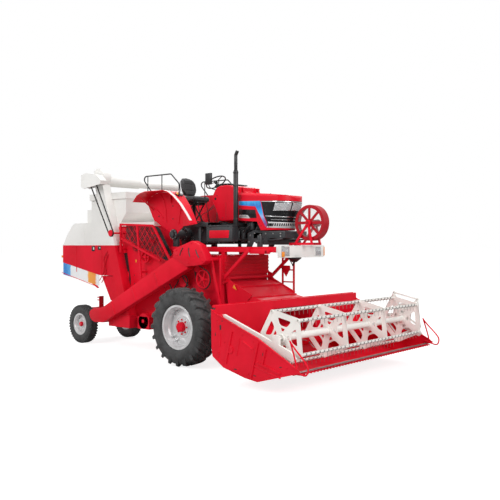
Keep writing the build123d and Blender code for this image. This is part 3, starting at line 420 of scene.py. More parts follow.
def bonnetStripeMaterial():
    # blue band that runs into violet at its lower end
    tree, shader, place = newMaterial("blueStripe", "red_paint", {
        "Specular IOR Level": 0.45, "Coat Weight": 0.35, "Coat Roughness": 0.1})
    cloud = noiseInto(tree, place, 7.0, 4.0)
    height = rangeInto(tree, shiftInto(tree, place, "Z", cloud, 0.16), 0.0, 1.0, 2.43, 2.93)
    tone = rampInto(tree, height, [
        (0.0, (0.5, 0.03, 0.13)), (0.16, (0.16, 0.06, 0.3)), (0.36, (0.3, 0.45, 0.8)), (0.55, (0.02, 0.42, 0.88)),
        (0.78, (0.015, 0.16, 0.58)), (1.0, (0.04, 0.5, 0.9))])
    finishShader(tree, shader, tone, rangeInto(tree, cloud, 0.22, 0.34),
                 [(noiseInto(tree, place, 420.0, 2.0), 0.04, 0.0005)])


paintLooks = {
    "redPaint": {"slot": "red_paint", "colour": (0.76, 0.0065, 0.027), "dark": (0.62, 0.004, 0.017), "patches": 1.6,
                 "gloss": 0.14, "coat": 0.02, "rough": 0.42, "wave": 0.1, "dust": 0.05,
                 "dustColour": (0.58, 0.06, 0.07)},
    "darkRedPaint": {"slot": "dark_red_paint", "colour": (0.42, 0.003, 0.013), "dark": (0.3, 0.002, 0.009),
                     "patches": 2.2, "gloss": 0.22, "coat": 0.05, "rough": 0.4, "wave": 0.06, "dust": 0.05,
                     "dustColour": (0.35, 0.04, 0.05)},
    "whitePaint": {"slot": "white_paint", "colour": (0.86, 0.85, 0.825), "dark": (0.77, 0.76, 0.73), "patches": 1.3,
                   "gloss": 0.3, "coat": 0.05, "rough": 0.42, "wave": 0.09, "dust": 0.3,
                   "dustColour": (0.6, 0.57, 0.5)},
    "creamPaint": {"slot": "white_paint", "colour": (0.86, 0.84, 0.8), "dark": (0.77, 0.75, 0.71), "patches": 3.0,
                   "gloss": 0.3, "coat": 0.05, "rough": 0.4, "wave": 0.05, "dust": 0.35,
                   "dustColour": (0.52, 0.46, 0.39)},
    "silverPaint": {"slot": "silver_paint", "colour": (0.72, 0.72, 0.725), "dark": (0.6, 0.6, 0.605), "patches": 4.0,
                    "gloss": 0.5, "coat": 0.15, "rough": 0.33, "wave": 0.03, "dust": 0.25,
                    "dustColour": (0.42, 0.4, 0.37), "metal": 0.35},
    "charcoalPaint": {"slot": "charcoal_paint", "colour": (0.04, 0.043, 0.047), "dark": (0.022, 0.024, 0.027),
                      "patches": 5.0, "gloss": 0.3, "coat": 0.05, "rough": 0.46, "wave": 0.06, "dust": 0.3,
                      "dustColour": (0.12, 0.115, 0.11)},
    "blackPaint": {"slot": "black_paint", "colour": (0.016, 0.016, 0.017), "dark": (0.009, 0.009, 0.01),
                   "patches": 4.0, "gloss": 0.35, "coat": 0.1, "rough": 0.4, "wave": 0.03, "dust": 0.2,
                   "dustColour": (0.07, 0.068, 0.065)},
    "amberLens": {"slot": "lamp_glass", "colour": (0.9, 0.3, 0.01), "dark": (0.8, 0.22, 0.006), "patches": 30.0,
                  "gloss": 0.5, "coat": 0.6, "rough": 0.15, "wave": 0.02, "dust": 0.05, "dustColour": (0.6, 0.3, 0.1)}}
rubberLooks = {
    "tyreRubber": {"slot": "tyre_rubber", "colour": (0.062, 0.063, 0.064), "dark": (0.018, 0.018, 0.0185),
                   "patches": 9.0, "dust": 0.44, "dustColour": (0.075, 0.073, 0.07), "rough": 0.52},
    "beltRubber": {"slot": "belt_rubber", "colour": (0.02, 0.02, 0.02), "dark": (0.01, 0.01, 0.01),
                   "patches": 26.0, "dust": 0.3, "dustColour": (0.06, 0.055, 0.05), "rough": 0.62}}

lensMaterial()
for name, look in paintLooks.items():
    paintMaterial(name, look)
for name, look in rubberLooks.items():
    rubberMaterial(name, look)
metalMaterial("brightSteel", (0.58, 0.57, 0.56), 0.3, (1, 9, 1))
metalMaterial("chromeTrim", (0.86, 0.86, 0.87), 0.14, (1, 1, 1))
metalMaterial("greySteel", (0.34, 0.335, 0.33), 0.42, (9, 1, 9))
vinylMaterial()
glossPlasticMaterial()
skirtMaterial()
bonnetStripeMaterial()

for part in frame["record"]["subparts"]:
    node = part["node"]
    materials = frame["nodes"][node].data.materials
    materials.clear()
    materials.append(dresses["creamPaint"][0] if node.startswith("reel_") else slotDress[part["material_slot"]])
print("materials on the carried-over nodes")

# camera, light and floor

cameraView = {"place": (8.558 + axleX, -9.012, 2.072), "azimuth": 41.603, "elevation": 0.403, "lens": 48.74,
              "sensor": 36, "far": 400}


def makeCamera():
    camera = bpy.data.objects.new("camera", bpy.data.cameras.new("camera"))
    bpy.context.collection.objects.link(camera)
    around, up = radians(cameraView["azimuth"]), radians(cameraView["elevation"])
    back = Vector((sin(around) * cos(up), -cos(around) * cos(up), sin(up)))
    camera.location = cameraView["place"]
    camera.rotation_euler = (-back).to_track_quat("-Z", "Y").to_euler()
    camera.data.lens = cameraView["lens"]
    camera.data.sensor_width = cameraView["sensor"]
    camera.data.clip_end = cameraView["far"]
    bpy.context.scene.camera = camera


studio = {
    "lamps": {"keyLamp": ((-1.5, -15.0, 10.0), 9.0, 1330), "frontLamp": ((14.0, -4.0, 7.0), 7.0, 980),
              "topLamp": ((0.0, 1.0, 12.0), 9.0, 560), "backLamp": ((-9.0, 11.0, 8.0), 7.0, 380)},
    "aim": (0.4, 0.0, 1.2), "worldLight": 0.42, "floorGlow": 0.8, "floorTone": (0.52, 0.52, 0.52, 1), "floor": 150}


def makeStudio():
    for name, (place, size, power) in studio["lamps"].items():
        data = bpy.data.lights.new(name, "AREA")
        data.shape = "DISK"
        data.size = size
        data.energy = power
        holder = bpy.data.objects.new(name, data)
        bpy.context.collection.objects.link(holder)
        holder.location = place
        holder.rotation_euler = (Vector(studio["aim"]) - holder.location).to_track_quat("-Z", "Y").to_euler()
    world = bpy.data.worlds.new("studio")
    bpy.context.scene.world = world
    world.use_nodes = True
    tree = world.node_tree
    tree.nodes.clear()
    path = tree.nodes.new("ShaderNodeLightPath").outputs
    seen = addNode(tree, "Math", {0: path["Is Camera Ray"], 1: path["Is Transmission Ray"]}, operation="MAXIMUM")
    mirrored = addNode(tree, "Math", {0: seen, 1: path["Is Glossy Ray"]}, operation="MAXIMUM")
    dim, bright = [addNode(tree, "Background", {"Color": (1, 1, 1, 1), "Strength": strength})
                   for strength in (studio["worldLight"], 1.0)]
    addNode(tree, "OutputWorld", {"Surface": addNode(tree, "MixShader", {"Fac": mirrored, 1: dim, 2: bright})})


def makeFloor():
    bm = bmesh.new()
    bmesh.ops.create_grid(bm, x_segments=2, y_segments=2, size=studio["floor"])
    floor = linkMesh("studioFloor", bm)
    material = bpy.data.materials.new("paleFloor")
    material.use_nodes = True
    tree = material.node_tree
    tree.nodes.clear()
    path = tree.nodes.new("ShaderNodeLightPath").outputs
    glow = addNode(tree, "Math", {0: path["Is Camera Ray"], 1: studio["floorGlow"]}, operation="MULTIPLY")
    both = addNode(tree, "AddShader", {0: addNode(tree, "BsdfDiffuse", {"Color": studio["floorTone"]}),
                                       1: addNode(tree, "Emission", {"Strength": glow})})
    addNode(tree, "OutputMaterial", {"Surface": both})
    floor.data.materials.append(material)


makeCamera()
makeStudio()
makeFloor()
bpy.context.scene.view_settings.view_transform = "Standard"
print("camera, light and floor")

# drive wheels

driveTyre = {
    "axle": (0.0, 1.08, 0.675), "half": 0.2, "crown": 0.641, "top": 0.6745, "lugs": 20, "lug": (0.04, 0.21, 0.05),
    "lean": 12.0, "steps": 120,
    "wall": ((0.15, 0.3555), (0.152, 0.384), (0.166, 0.392), (0.176, 0.4), (0.181, 0.399), (0.186, 0.412),
             (0.192, 0.436), (0.199, 0.47), (0.1995, 0.51), (0.194, 0.552), (0.184, 0.588), (0.17, 0.612),
             (0.148, 0.628), (0.1, 0.637), (0.04, 0.6405))}


def tyreProfile(wall, crown=()):
    # section from one bead over the tread to the other
    return [(-y, radius) for y, radius in wall] + list(crown) + [(y, radius) for y, radius in reversed(wall)]


def addLug(bm, side, turn, tyre):
    # bar lug bent round the tread from the middle to the shoulder
    part = newBlock((-0.5, -0.5, -0.5), (0.5, 0.5, 0.5))
    longEdges = [e for e in part.edges if abs(e.verts[0].co.y - e.verts[1].co.y) > 0.5]
    bmesh.ops.subdivide_edges(part, edges=longEdges, cuts=8, use_grid_fill=True)
    long, tall = tyre["lug"][1:]
    bmesh.ops.scale(part, vec=tyre["lug"], verts=part.verts)
    bevelBy(part, [e for e in part.edges if all(v.co.z > 0.02 for v in e.verts)
                   and (all(abs(v.co.x) > 0.015 for v in e.verts) or all(abs(v.co.y) > 0.1 for v in e.verts))], 0.006)
    for vert in part.verts:
        out = vert.co.y / long + 0.5
        high = vert.co.z / tall + 0.5
        thick = vert.co.x * (1.0 + 0.35 * out + (1 - high) * 0.5)
        y = -0.016 + out * (tyre["half"] + 0.016 - 0.004)
        drop = max(0.0, out - 0.62) / 0.38
        topRadius = tyre["top"] - 0.004 * out - 0.022 * drop ** 2
        lowRadius = tyre["crown"] - 0.02 - 0.062 * drop ** 1.6
        radius = lowRadius + high * (topRadius - lowRadius)
        angle = turn - tyre["lean"] * out ** 0.85 + thick / radius * 57.3
        vert.co = Vector((radius * sin(radians(angle)), side * y, radius * cos(radians(angle))))
    joinInto(bm, part)


def finishTyre(name, bm, side, tyre, body, node):
    x, y, z = tyre["axle"]
    bmesh.ops.translate(bm, vec=(x, side * y, z), verts=bm.verts)
    finishPiece(name, bm, "tyreRubber", body, node, 40)


def makeDriveTyre(side, sideName, body):
    tyre = driveTyre
    bm = bmesh.new()
    addTurned(bm, tyreProfile(tyre["wall"]), (0, 0, 0), tyre["steps"])
    pitch = 360 / tyre["lugs"]
    for step in range(tyre["lugs"]):
        addLug(bm, 1, step * pitch, tyre)
        addLug(bm, -1, (step + 0.5) * pitch, tyre)
    finishTyre("driveTyre" + sideName, bm, side, tyre, body, "drive_tyre_" + sideName.lower())


rimDetail = {
    "clamps": 4, "lip": 0.378, "lipY": 0.1565, "stud": 0.122, "bolt": 0.054,
    "disc": ((0.028, 0.166), (0.04, 0.17), (0.04, 0.186), (0.028, 0.192)),
    "hub": ((0.034, 0.088), (0.044, 0.0875), (0.05, 0.0865), (0.104, 0.0815), (0.112, 0.076), (0.1165, 0.061),
            (0.1172, 0.03), (0.1172, 0.0))}


def makeRimDetail(side, sideName, body):
    detail = rimDetail
    y0, z0 = side * driveTyre["axle"][1], driveTyre["axle"][2]
    bm = bmesh.new()
    # rolled lips at both edges, and pressed clamps where the disc meets the barrel
    for edge in sides:
        ring = [(side * (edge * detail["lipY"] + 0.005 * cos(a * tau / 8)), detail["lip"] + 0.005 * sin(a * tau / 8))
                for a in range(8)]
        addTurned(bm, ring, (0, y0, z0), 96)
    for step in range(detail["clamps"]):
        for lean in (-9, 9):
            turn = Matrix.Translation((0, y0, z0)) @ Matrix.Rotation(
                radians(45 + step * 360 / detail["clamps"] + lean), 4, "Y")
            addBox(bm, (-0.02, -0.012, 0.262), (0.02, 0.012, 0.316), 0.008, turn)
            addBox(bm, (-0.014, side * 0.045 - 0.035, 0.304), (0.014, side * 0.045 + 0.035, 0.3185), 0.005, turn)
    addTurned(bm, [(side * y, radius) for y, radius in detail["disc"]], (0, y0, z0), 72)
    finishPiece("rimPressings" + sideName, bm, "silverPaint", body)
    bm = bmesh.new()
    addTurned(bm, [(side * y, radius) for y, radius in detail["hub"]], (0, y0, z0), 56, closed=False)
    for step in range(8):
        x, z = polarPoint(0, z0, detail["stud"], step * 45)
        addRod(bm, (x, y0 + side * 0.044, z), (x, y0 + side * 0.058, z), 0.0165, segments=6)
        addRod(bm, (x, y0 + side * 0.058, z), (x, y0 + side * 0.0675, z), 0.0095, segments=10)
    for step in range(6):
        x, z = polarPoint(0, z0, detail["bolt"], step * 60)
        addBolt(bm, (x, y0 + side * 0.1165, z), (0, side, 0), 0.0085, 0.006)
    finishPiece("hubCover" + sideName, bm, "redPaint", body)


for side, sideName in ((1, "Left"), (-1, "Right")):
    makeDriveTyre(side, sideName, "drive_wheel_" + sideName.lower())
    makeRimDetail(side, sideName, "drive_wheel_" + sideName.lower())
print("drive wheels")

# rear wheels

steerTyre = {
    "axle": (-3.65, 0.6, 0.405), "edge": 0.078, "top": 0.4045, "groove": 0.392, "ribs": 5, "blocks": 40,
    "nuts": 0.071, "cap": ((0.04, 0.0495), (0.079, 0.0455), (0.087, 0.034), (0.0895, 0.018), (0.0895, 0.0)),
    "wall": ((0.084, 0.2035), (0.085, 0.231), (0.093, 0.238), (0.097, 0.248), (0.0995, 0.285), (0.099, 0.32),
             (0.094, 0.352), (0.087, 0.372), (0.08, 0.384))}


def makeSteerWheel(side, sideName, body):
    tyre = steerTyre
    top, groove = tyre["top"], tyre["groove"]
    crown = []
    pitch = 2 * tyre["edge"] / tyre["ribs"]
    for step in range(tyre["ribs"]):
        y = step * pitch - tyre["edge"]
        crown += [(y, groove), (y + 0.003, top - 0.003), (y + pitch / 2, top), (y + pitch - 0.01, top - 0.003),
                  (y + pitch - 0.007, groove)]
    bm = bmesh.new()
    addTurned(bm, tyreProfile(tyre["wall"], crown), (0, 0, 0), 96)
    for step in range(tyre["blocks"]):
        for edge in sides:
            turn = Matrix.Rotation(radians((step + 0.25 * edge) * 360 / tyre["blocks"]), 4, "Y")
            addBox(bm, (-0.015, edge * 0.087 - 0.01, 0.362), (0.015, edge * 0.087 + 0.01, 0.396), 0.004, turn)
    finishTyre("rearTyre" + sideName, bm, side, tyre, body, "steer_tyre_" + sideName.lower())

    x0, y0, z0 = tyre["axle"][0], side * tyre["axle"][1], tyre["axle"][2]
    bm, cap = newParts(2)
    for step in range(5):
        x, z = polarPoint(x0, z0, tyre["nuts"], 18 + step * 72)
        addRod(bm, (x, y0 + side * 0.036, z), (x, y0 + side * 0.052, z), 0.012, segments=6)
    for step in range(6):
        turn = Matrix.Translation((x0, y0, z0)) @ Matrix.Rotation(radians(step * 60), 4, "Y")
        addBox(bm, (-0.014, -0.004 + side * 0.018, 0.128), (0.014, 0.004 + side * 0.018, 0.16), 0.003, turn)
    finishPiece("rearWheelNuts" + sideName, bm, "silverPaint", body)
    addTurned(cap, [(side * y, radius) for y, radius in tyre["cap"]], (x0, y0, z0), 40, closed=False)
    finishPiece("rearHubCap" + sideName, cap, "redPaint", body)


for side, sideName in ((1, "Left"), (-1, "Right")):
    makeSteerWheel(side, sideName, "steer_wheel_" + sideName.lower())
print("rear wheels")

# table auger

augerLook = {"x": 1.861, "z": 0.566, "tube": 0.13, "flight": 0.25, "reach": 1.886, "middle": 0.45, "pitch": 0.52,
             "shaft": 0.022, "shaftEnd": 1.91, "fingers": 10, "fingerPitch": 0.09}


def makeAuger():
    look = augerLook
    x0, z0, reach, middle = look["x"], look["z"], look["reach"], look["middle"]
    bm, fingers = newParts(2)
    addTurned(bm, [(-reach, 0.0), (-reach, look["tube"]), (reach, look["tube"]), (reach, 0.0)], (x0, 0, z0), 48,
              closed=False)
    addRod(bm, (x0, -look["shaftEnd"], z0), (x0, look["shaftEnd"], z0), look["shaft"], segments=20)
    length = reach - 0.012 - middle
    turns = length / look["pitch"]
    steps = int(turns * 36)
    for side in sides:
        flight = bmesh.new()
        flight.edges.new([flight.verts.new((0, side * middle, radius)) for radius in
                          (look["tube"] - 0.004, look["flight"])])
        spinRound(flight, steps, dvec=(0, side * length / steps, 0), angle=side * tau * turns, use_merge=False)
        bmesh.ops.recalc_face_normals(flight, faces=flight.faces)
        thicken(flight, 0.004)
        joinInto(bm, flight, Matrix.Translation((x0, 0, z0)))
    finishPiece("tableAuger", bm, "redPaint", "auger", "table_auger")
    for step in range(look["fingers"]):
        y = (step - (look["fingers"] - 1) / 2) * look["fingerPitch"]
        for reach, low, high, segments in ((0.258, 0.008, 0.006, 10), (look["tube"] + 0.006, 0.021, 0.021, 12)):
            x, z = polarPoint(x0, z0, reach, step * 108)
            addRod(fingers, (x0, y, z0), (x, y, z), low, high, segments)
    finishPiece("augerFingers", fingers, "greySteel", "auger")


makeAuger()
print("auger")

# reel

reelLook = {
    "x": 2.63, "z": 0.775, "radius": 0.4, "bats": 5, "first": -30, "half": 1.68, "plates": 4, "tinePitch": 0.105,
    "tine": 0.0945, "crank": 0.09, "ringY": 1.715, "tube": 0.0157,
    "hub": ((-0.022, 0.0485), (-0.022, 0.062), (-0.006, 0.066), (-0.006, 0.098), (0.006, 0.098), (0.006, 0.066),
            (0.022, 0.062), (0.022, 0.0485))}
reelPlate = {
    "thick": 0.006, "flange": 0.014, "reach": 0.038, "round": 0.04, "tube": 0.048, "shaft": 0.022,
    "shaftEnd": 1.807, "eye": 0.0175, "windowRound": 0.034, "holeRound": 0.012,
    "window": ((0.186, -20.0), (0.3, -24.5), (0.3, 24.5), (0.186, 20.0)),
    "hole": ((0.104, -9.0), (0.15, -15.0), (0.15, 15.0), (0.104, 9.0))}
batTurns = [reelLook["first"] + step * 360 / reelLook["bats"] for step in range(reelLook["bats"])]
platePlaces = [-reelLook["half"] + 2 * reelLook["half"] * step / (reelLook["plates"] - 1)
               for step in range(reelLook["plates"])]


def reelPoint(radius, turn):
    return polarPoint(reelLook["x"], reelLook["z"], radius, turn)


def makeBat(number, turn):
    look = reelLook
    x, z = reelPoint(look["radius"], turn)
    half, ringY, top = look["half"], look["ringY"], z + look["crank"]
    body = "bat_" + number
    bm, tines, holes = newParts(3)
    addRod(bm, (x, -half + 0.003, z), (x, ringY - 0.004, z), look["tube"], segments=20)
    addBox(bm, (x - 0.009, ringY - 0.016, z), (x + 0.009, ringY - 0.0045, top + 0.012), 0.003)
    addRod(bm, (x, ringY - 0.016, top), (x, ringY + 0.006, top), 0.009)
    # perforated strip between the plates
    for first, second in zip(platePlaces, platePlaces[1:]):
        addBox(bm, (x - 0.0195, first + 0.022, z - 0.03), (x - 0.0165, second - 0.022, z + 0.02), 0.001)
        addBox(bm, (x - 0.0195, first + 0.022, z + 0.017), (x + 0.01, second - 0.022, z + 0.02), 0.001)
    finishPiece("reelBat" + number, bm, "creamPaint", body, "reel_bat_" + number)
    count = int(2 * half / look["tinePitch"]) - 1
    for step in range(count):
        y = (step - (count - 1) / 2) * look["tinePitch"]
        if min(abs(y - place) for place in platePlaces) < 0.024:
            continue
        addRod(tines, (x - 0.012, y, z - 0.01), (x - 0.004, y, z - look["tine"]), 0.0035, 0.0022, 6)
        addTurned(tines, [(0.011, 0.0165), (0.011, 0.02), (-0.011, 0.02), (-0.011, 0.0165)], (x, y, z), 12)
        # black patches where the strip's holes are: painted shade seen through each hole
        addBox(holes, (x - 0.0205, y + 0.03, z - 0.014), (x - 0.016, y + 0.052, z + 0.004), 0.001)
        addBox(holes, (x - 0.004, y + 0.026, z + 0.0185), (x + 0.006, y + 0.056, z + 0.0208), 0.0005)
    finishPiece("reelTines" + number, tines, "greySteel", body)
    finishPiece("batHoleShade" + number, holes, "blackPaint", body)


def addPierced(bm, outlines, y0, y1):
    # sheet with holes: each outline comes with the rounding of its corners, the outer one first
    part = bmesh.new()
    for points, rounding in outlines:
        face = sideFace(part, points, 0)
        if rounding > 0:
            bevelBy(part, list(face.verts), rounding, 4, "VERTICES")
    bmesh.ops.delete(part, geom=list(part.faces), context="FACES_ONLY")
    bmesh.ops.triangle_fill(part, use_beauty=True, edges=list(part.edges), normal=(0, 1, 0))
    bmesh.ops.translate(part, vec=(0, y0, 0), verts=part.verts)
    finishPlate(bm, part, y1 - y0, 0)


def makeReelFrame():
    # centre tube with pressed, flanged five-cornered plates
    look, sheet = reelLook, reelPlate
    x0, z0 = look["x"], look["z"]
    bm = bmesh.new()
    addRod(bm, (x0, -look["half"], z0), (x0, look["half"], z0), sheet["tube"], segments=40, soft=0.003)
    addRod(bm, (x0, -sheet["shaftEnd"], z0), (x0, sheet["shaftEnd"], z0), sheet["shaft"], segments=32, soft=0.002)
    corners = [reelPoint(look["radius"] + sheet["reach"], turn) for turn in batTurns]
    outlines = [(corners, sheet["round"])]
    for turn in batTurns:
        middle = turn + 180 / look["bats"]
        for opening in ("window", "hole"):
            outlines.append(([reelPoint(r, middle + a) for r, a in sheet[opening]], sheet[opening + "Round"]))
        x, z = reelPoint(look["radius"], turn)
        outlines.append(([polarPoint(x, z, sheet["eye"], step * 20) for step in range(18)], 0))
    for y in platePlaces:
        addPierced(bm, outlines, y - sheet["thick"] / 2, y + sheet["thick"] / 2)
        addFrame(bm, corners, y - sheet["flange"], y + sheet["flange"], 0.005, sheet["round"], 0.001)
    finishPiece("reelPlates", bm, "creamPaint", "reel", "reel_frame")


def makeReelPressings():
    # flanged edges and raised rims round the windows of the five-cornered plates
    look = reelLook
    bm = bmesh.new()
    rim = [reelPoint(look["radius"] - 0.01, turn) for turn in batTurns]
    for y in platePlaces:
        addFrame(bm, rim, y - 0.008, y + 0.008, 0.01, 0.05, 0.003)
        for turn in batTurns:
            window = [reelPoint(r, turn + 180 / look["bats"] + a) for r, a in reelPlate["window"]]
            addFrame(bm, window, y - 0.01, y + 0.01, 0.011, reelPlate["windowRound"], 0.003)
            x, z = reelPoint(look["radius"], turn)
            addTurned(bm, [(-0.016, 0.0165), (-0.016, 0.026), (0.016, 0.026), (0.016, 0.0165)], (x, y, z), 20)
            x, z = reelPoint(0.078, turn)
            addBolt(bm, (x, y - 0.003, z), (0, -1, 0), 0.008, 0.007)
        addTurned(bm, look["hub"], (look["x"], y, look["z"]), 40)
    finishPiece("reelPressings", bm, "creamPaint", "reel")


for index, turn in enumerate(batTurns):
    makeBat(str(index + 1), turn)
makeReelFrame()
makeReelPressings()
print("reel")

# cutting table

tableLook = {
    "half": 1.9, "knifeX": 2.98, "knifeZ": 0.355, "pitch": 0.0762, "inner": 1.873, "bearing": (1.861, 0.566),
    "top": ((1.47, 1.12), (1.59, 1.06), (2.39, 0.77), (3.08, 0.42)),
    "bolts": ((1.6, 0.97), (1.62, 0.5), (1.9, 0.3), (2.3, 0.72), (2.62, 0.58), (2.9, 0.42), (2.6, 0.27), (2.2, 0.25),
              (1.75, 0.66), (2.1, 0.8)),
    "pads": ((1.64, 0.92), (1.64, 0.47), (2.02, 0.27)),
    "ridges": ((1.66, 0.69, 0.2, 88.0), (2.02, 0.62, 0.26, 76.0), (2.55, 0.33, 0.5, -14.0), (2.2, 0.66, 0.22, -28.0)),
    "panel": ((2.57, 0.5), (2.69, 0.455), (2.69, 0.4), (2.57, 0.44)),
    "slotShade": ((1.664, 0.87, 0.03, 0.07), (1.627, 0.471, 0.045, 0.012), (1.961, 0.293, 0.055, 0.014),
              (2.796, 0.419, 0.04, 0.012), (1.7, 0.965, 0.035, 0.01), (1.56, 0.76, 0.012, 0.05),
              (2.33, 0.245, 0.05, 0.012), (2.48, 0.56, 0.012, 0.045)),
    "loopY": 1.882, "loopRadius": 0.0115,
    "loops": (((2.94, 0.79), (2.975, 0.735), (3.236, 0.5), (3.25, 0.42), (3.215, 0.345), (3.12, 0.362), (3.01, 0.392)),
              ((2.945, 0.785), (2.985, 0.68), (3.07, 0.42), (3.03, 0.395), (2.985, 0.4)))}


def makeTableDetail():
    look = tableLook
    bm, slotShade, loops, knife = newParts(4)
    addSideBolts(bm, look["bolts"], look["half"], 0.01, 0.007)
    for side in sides:
        outer, barY = side * look["half"], side * (look["half"] - 0.006)
        for (x0, z0), (x1, z1) in zip(look["top"], look["top"][1:]):
            addBar(bm, (x0, barY, z0), (x1, barY, z1), 0.03, 0.008)
        for x, z in look["pads"]:
            addBox(bm, (x - 0.03, outer - 0.004, z - 0.045), (x + 0.006, outer + 0.004, z + 0.045))
        x, z = look["bearing"]
        addTurned(bm, [(-0.004, 0.0), (-0.004, 0.034), (0.0165, 0.034), (0.02, 0.026), (0.02, 0.0)], (x, outer, z), 28,
                  closed=False)
        for x, z, length, lean in look["ridges"]:
            along = Vector((cos(radians(lean)), 0, sin(radians(lean)))) * (length / 2)
            addRod(bm, Vector((x, outer, z)) - along, Vector((x, outer, z)) + along, 0.011, segments=10)
        addFrame(bm, look["panel"], outer - 0.008, outer + 0.008, 0.012, 0.0, 0.002)
        # black patches where the side wall's slots are: painted shade inside each slot
        for x, z, width, height in look["slotShade"]:
            addBox(slotShade, (x - width / 2, outer - 0.0015, z - height / 2),
                   (x + width / 2, outer + 0.0015, z + height / 2), 0.0006)
        for route in look["loops"]:
            addHose(loops, [(x, side * look["loopY"], z) for x, z in route], look["loopRadius"], 8)
    # seams and stiffeners along the back wall
    for step in range(9):
        y = -1.76 + step * 0.44
        addBox(bm, (1.5405, y - 0.006, 0.6), (1.5485, y + 0.006, 1.14), 0.002)
        addBolt(bm, (1.553, y + 0.1, 1.176), (0, 0, 1), 0.008, 0.005)
    addBox(bm, (1.488, -1.888, 1.1745), (1.496, 1.888, 1.186), 0.002)
    finishPiece("tableTrim", bm, "redPaint", "header")
    finishPiece("tableSlotShade", slotShade, "blackPaint", "header")
    finishPiece("dividerLoops", loops, "redPaint", "header", "divider_loops")
    count = int(2 * look["inner"] / look["pitch"])
    x0, z0 = look["knifeX"], look["knifeZ"]
    for step in range(count):
        y = (step - (count - 1) / 2) * look["pitch"]
        section = bmesh.new()
        section.faces.new([section.verts.new((x0 + x, y + across, z0 + 0.0065)) for x, across in
                           ((0.014, -0.036), (0.094, -0.008), (0.094, 0.008), (0.014, 0.036))])
        pushOut(section, (0, 0, 0.0028))
        joinInto(knife, section)
        if step % 3 == 0:
            addBolt(knife, (x0 + 0.006, y + 0.038, z0 + 0.006), (0, 0, 1), 0.007, 0.005)
    finishPiece("knifeSections", knife, "greySteel", "header", angle=20)


makeTableDetail()
print("cutting table")

# bonnet trim, laid along the plan from the rear of one side round the nose

bonnetLook = {
    "half": 0.33, "rear": 0.575, "nose": 1.64, "bend": 1.36, "rise": 2.79, "lean": 0.3226,
    "plan": ((1.36, 0.33), (1.45, 0.305), (1.53, 0.245), (1.59, 0.16), (1.63, 0.07), (1.64, 0.0)),
    "stripe": ((0.59, 2.838), (1.084, 2.822), (1.152, 2.573), (1.262, 2.37), (1.197, 2.383), (1.016, 2.663),
               (0.97, 2.734), (0.592, 2.766)),
    "window": ((0.592, 2.699), (0.97, 2.675), (1.0, 2.535), (0.592, 2.545)),
    "louvre": ((0.6, 2.6), (0.795, 2.592), (0.853, 2.531), (0.6, 2.549)), "louvreSlots": 6,
    "bolts": ((0.6, 2.9), (0.6, 2.87), (1.1, 2.4), (1.06, 2.46)),
    "strips": ((0.532, (2.806, 2.784), (2.817, 2.797), 0.005, 0.001),
               (0.622, (2.558, 2.536), (2.572, 2.547), 0.004, 0.001),
               (0.822, (2.5, 2.492), (2.505, 2.497), 0.003, 0.0)),
    "lamps": ((0.829, 1.12), (1.142, 1.2516)), "lampZ": (2.655, 2.772),
    "band": 0.675, "bandLow": (2.372, 2.356), "bandHigh": (2.47, 2.452), "bandSlots": 44, "slotPitch": 0.0385}


def nosePath():
    look = bonnetLook
    left = [(look["rear"], look["half"])] + list(look["plan"])
    return left + [(x, -y) for x, y in reversed(left[:-1])]


def cutPath(path, start, end):
    # the stretch of a plan line between two lengths along it
    points, gone = [], 0.0
    for first, second in zip(path, path[1:]):
        step = (Vector(second) - Vector(first)).length
        low, high = max(start - gone, 0.0), min(end - gone, step)
        if low < high:
            if not points:
                points.append(tuple(Vector(first).lerp(Vector(second), low / step)))
            points.append(tuple(Vector(first).lerp(Vector(second), high / step)))
        gone += step
    return points


def offsetPath(path, distance):
    moved = []
    for index, (x, y) in enumerate(path):
        before, after = path[max(index - 1, 0)], path[min(index + 1, len(path) - 1)]
        along = Vector((after[0] - before[0], after[1] - before[1])).normalized()
        moved.append((x - along.y * distance, y + along.x * distance))
    return moved


def addWrap(bm, path, low, high, stand, soft=0.0):
    # strip laid round the nose: heights at its rear end and at the tip, and how far it stands out
    look = bonnetLook
    part = bmesh.new()
    outline = offsetPath(path, stand) + list(reversed(offsetPath(path, -0.003)))
    part.faces.new([part.verts.new((x, y, 0)) for x, y in outline])
    pushOut(part, (0, 0, 1))
    rear = min(x for x, y in path)
    for vert in part.verts:
        heights = high if vert.co.z > 0.5 else low
        share = min(max((vert.co.x - rear) / (look["nose"] - rear), 0.0), 1.0)
        z = heights[0] + share * (heights[1] - heights[0])
        lean = look["lean"] * max(0.0, look["rise"] - z) if vert.co.x > look["bend"] - 0.004 else 0.0
        vert.co = Vector((vert.co.x - lean, vert.co.y, z))
    softenEdges(part, soft)
    joinInto(bm, part)


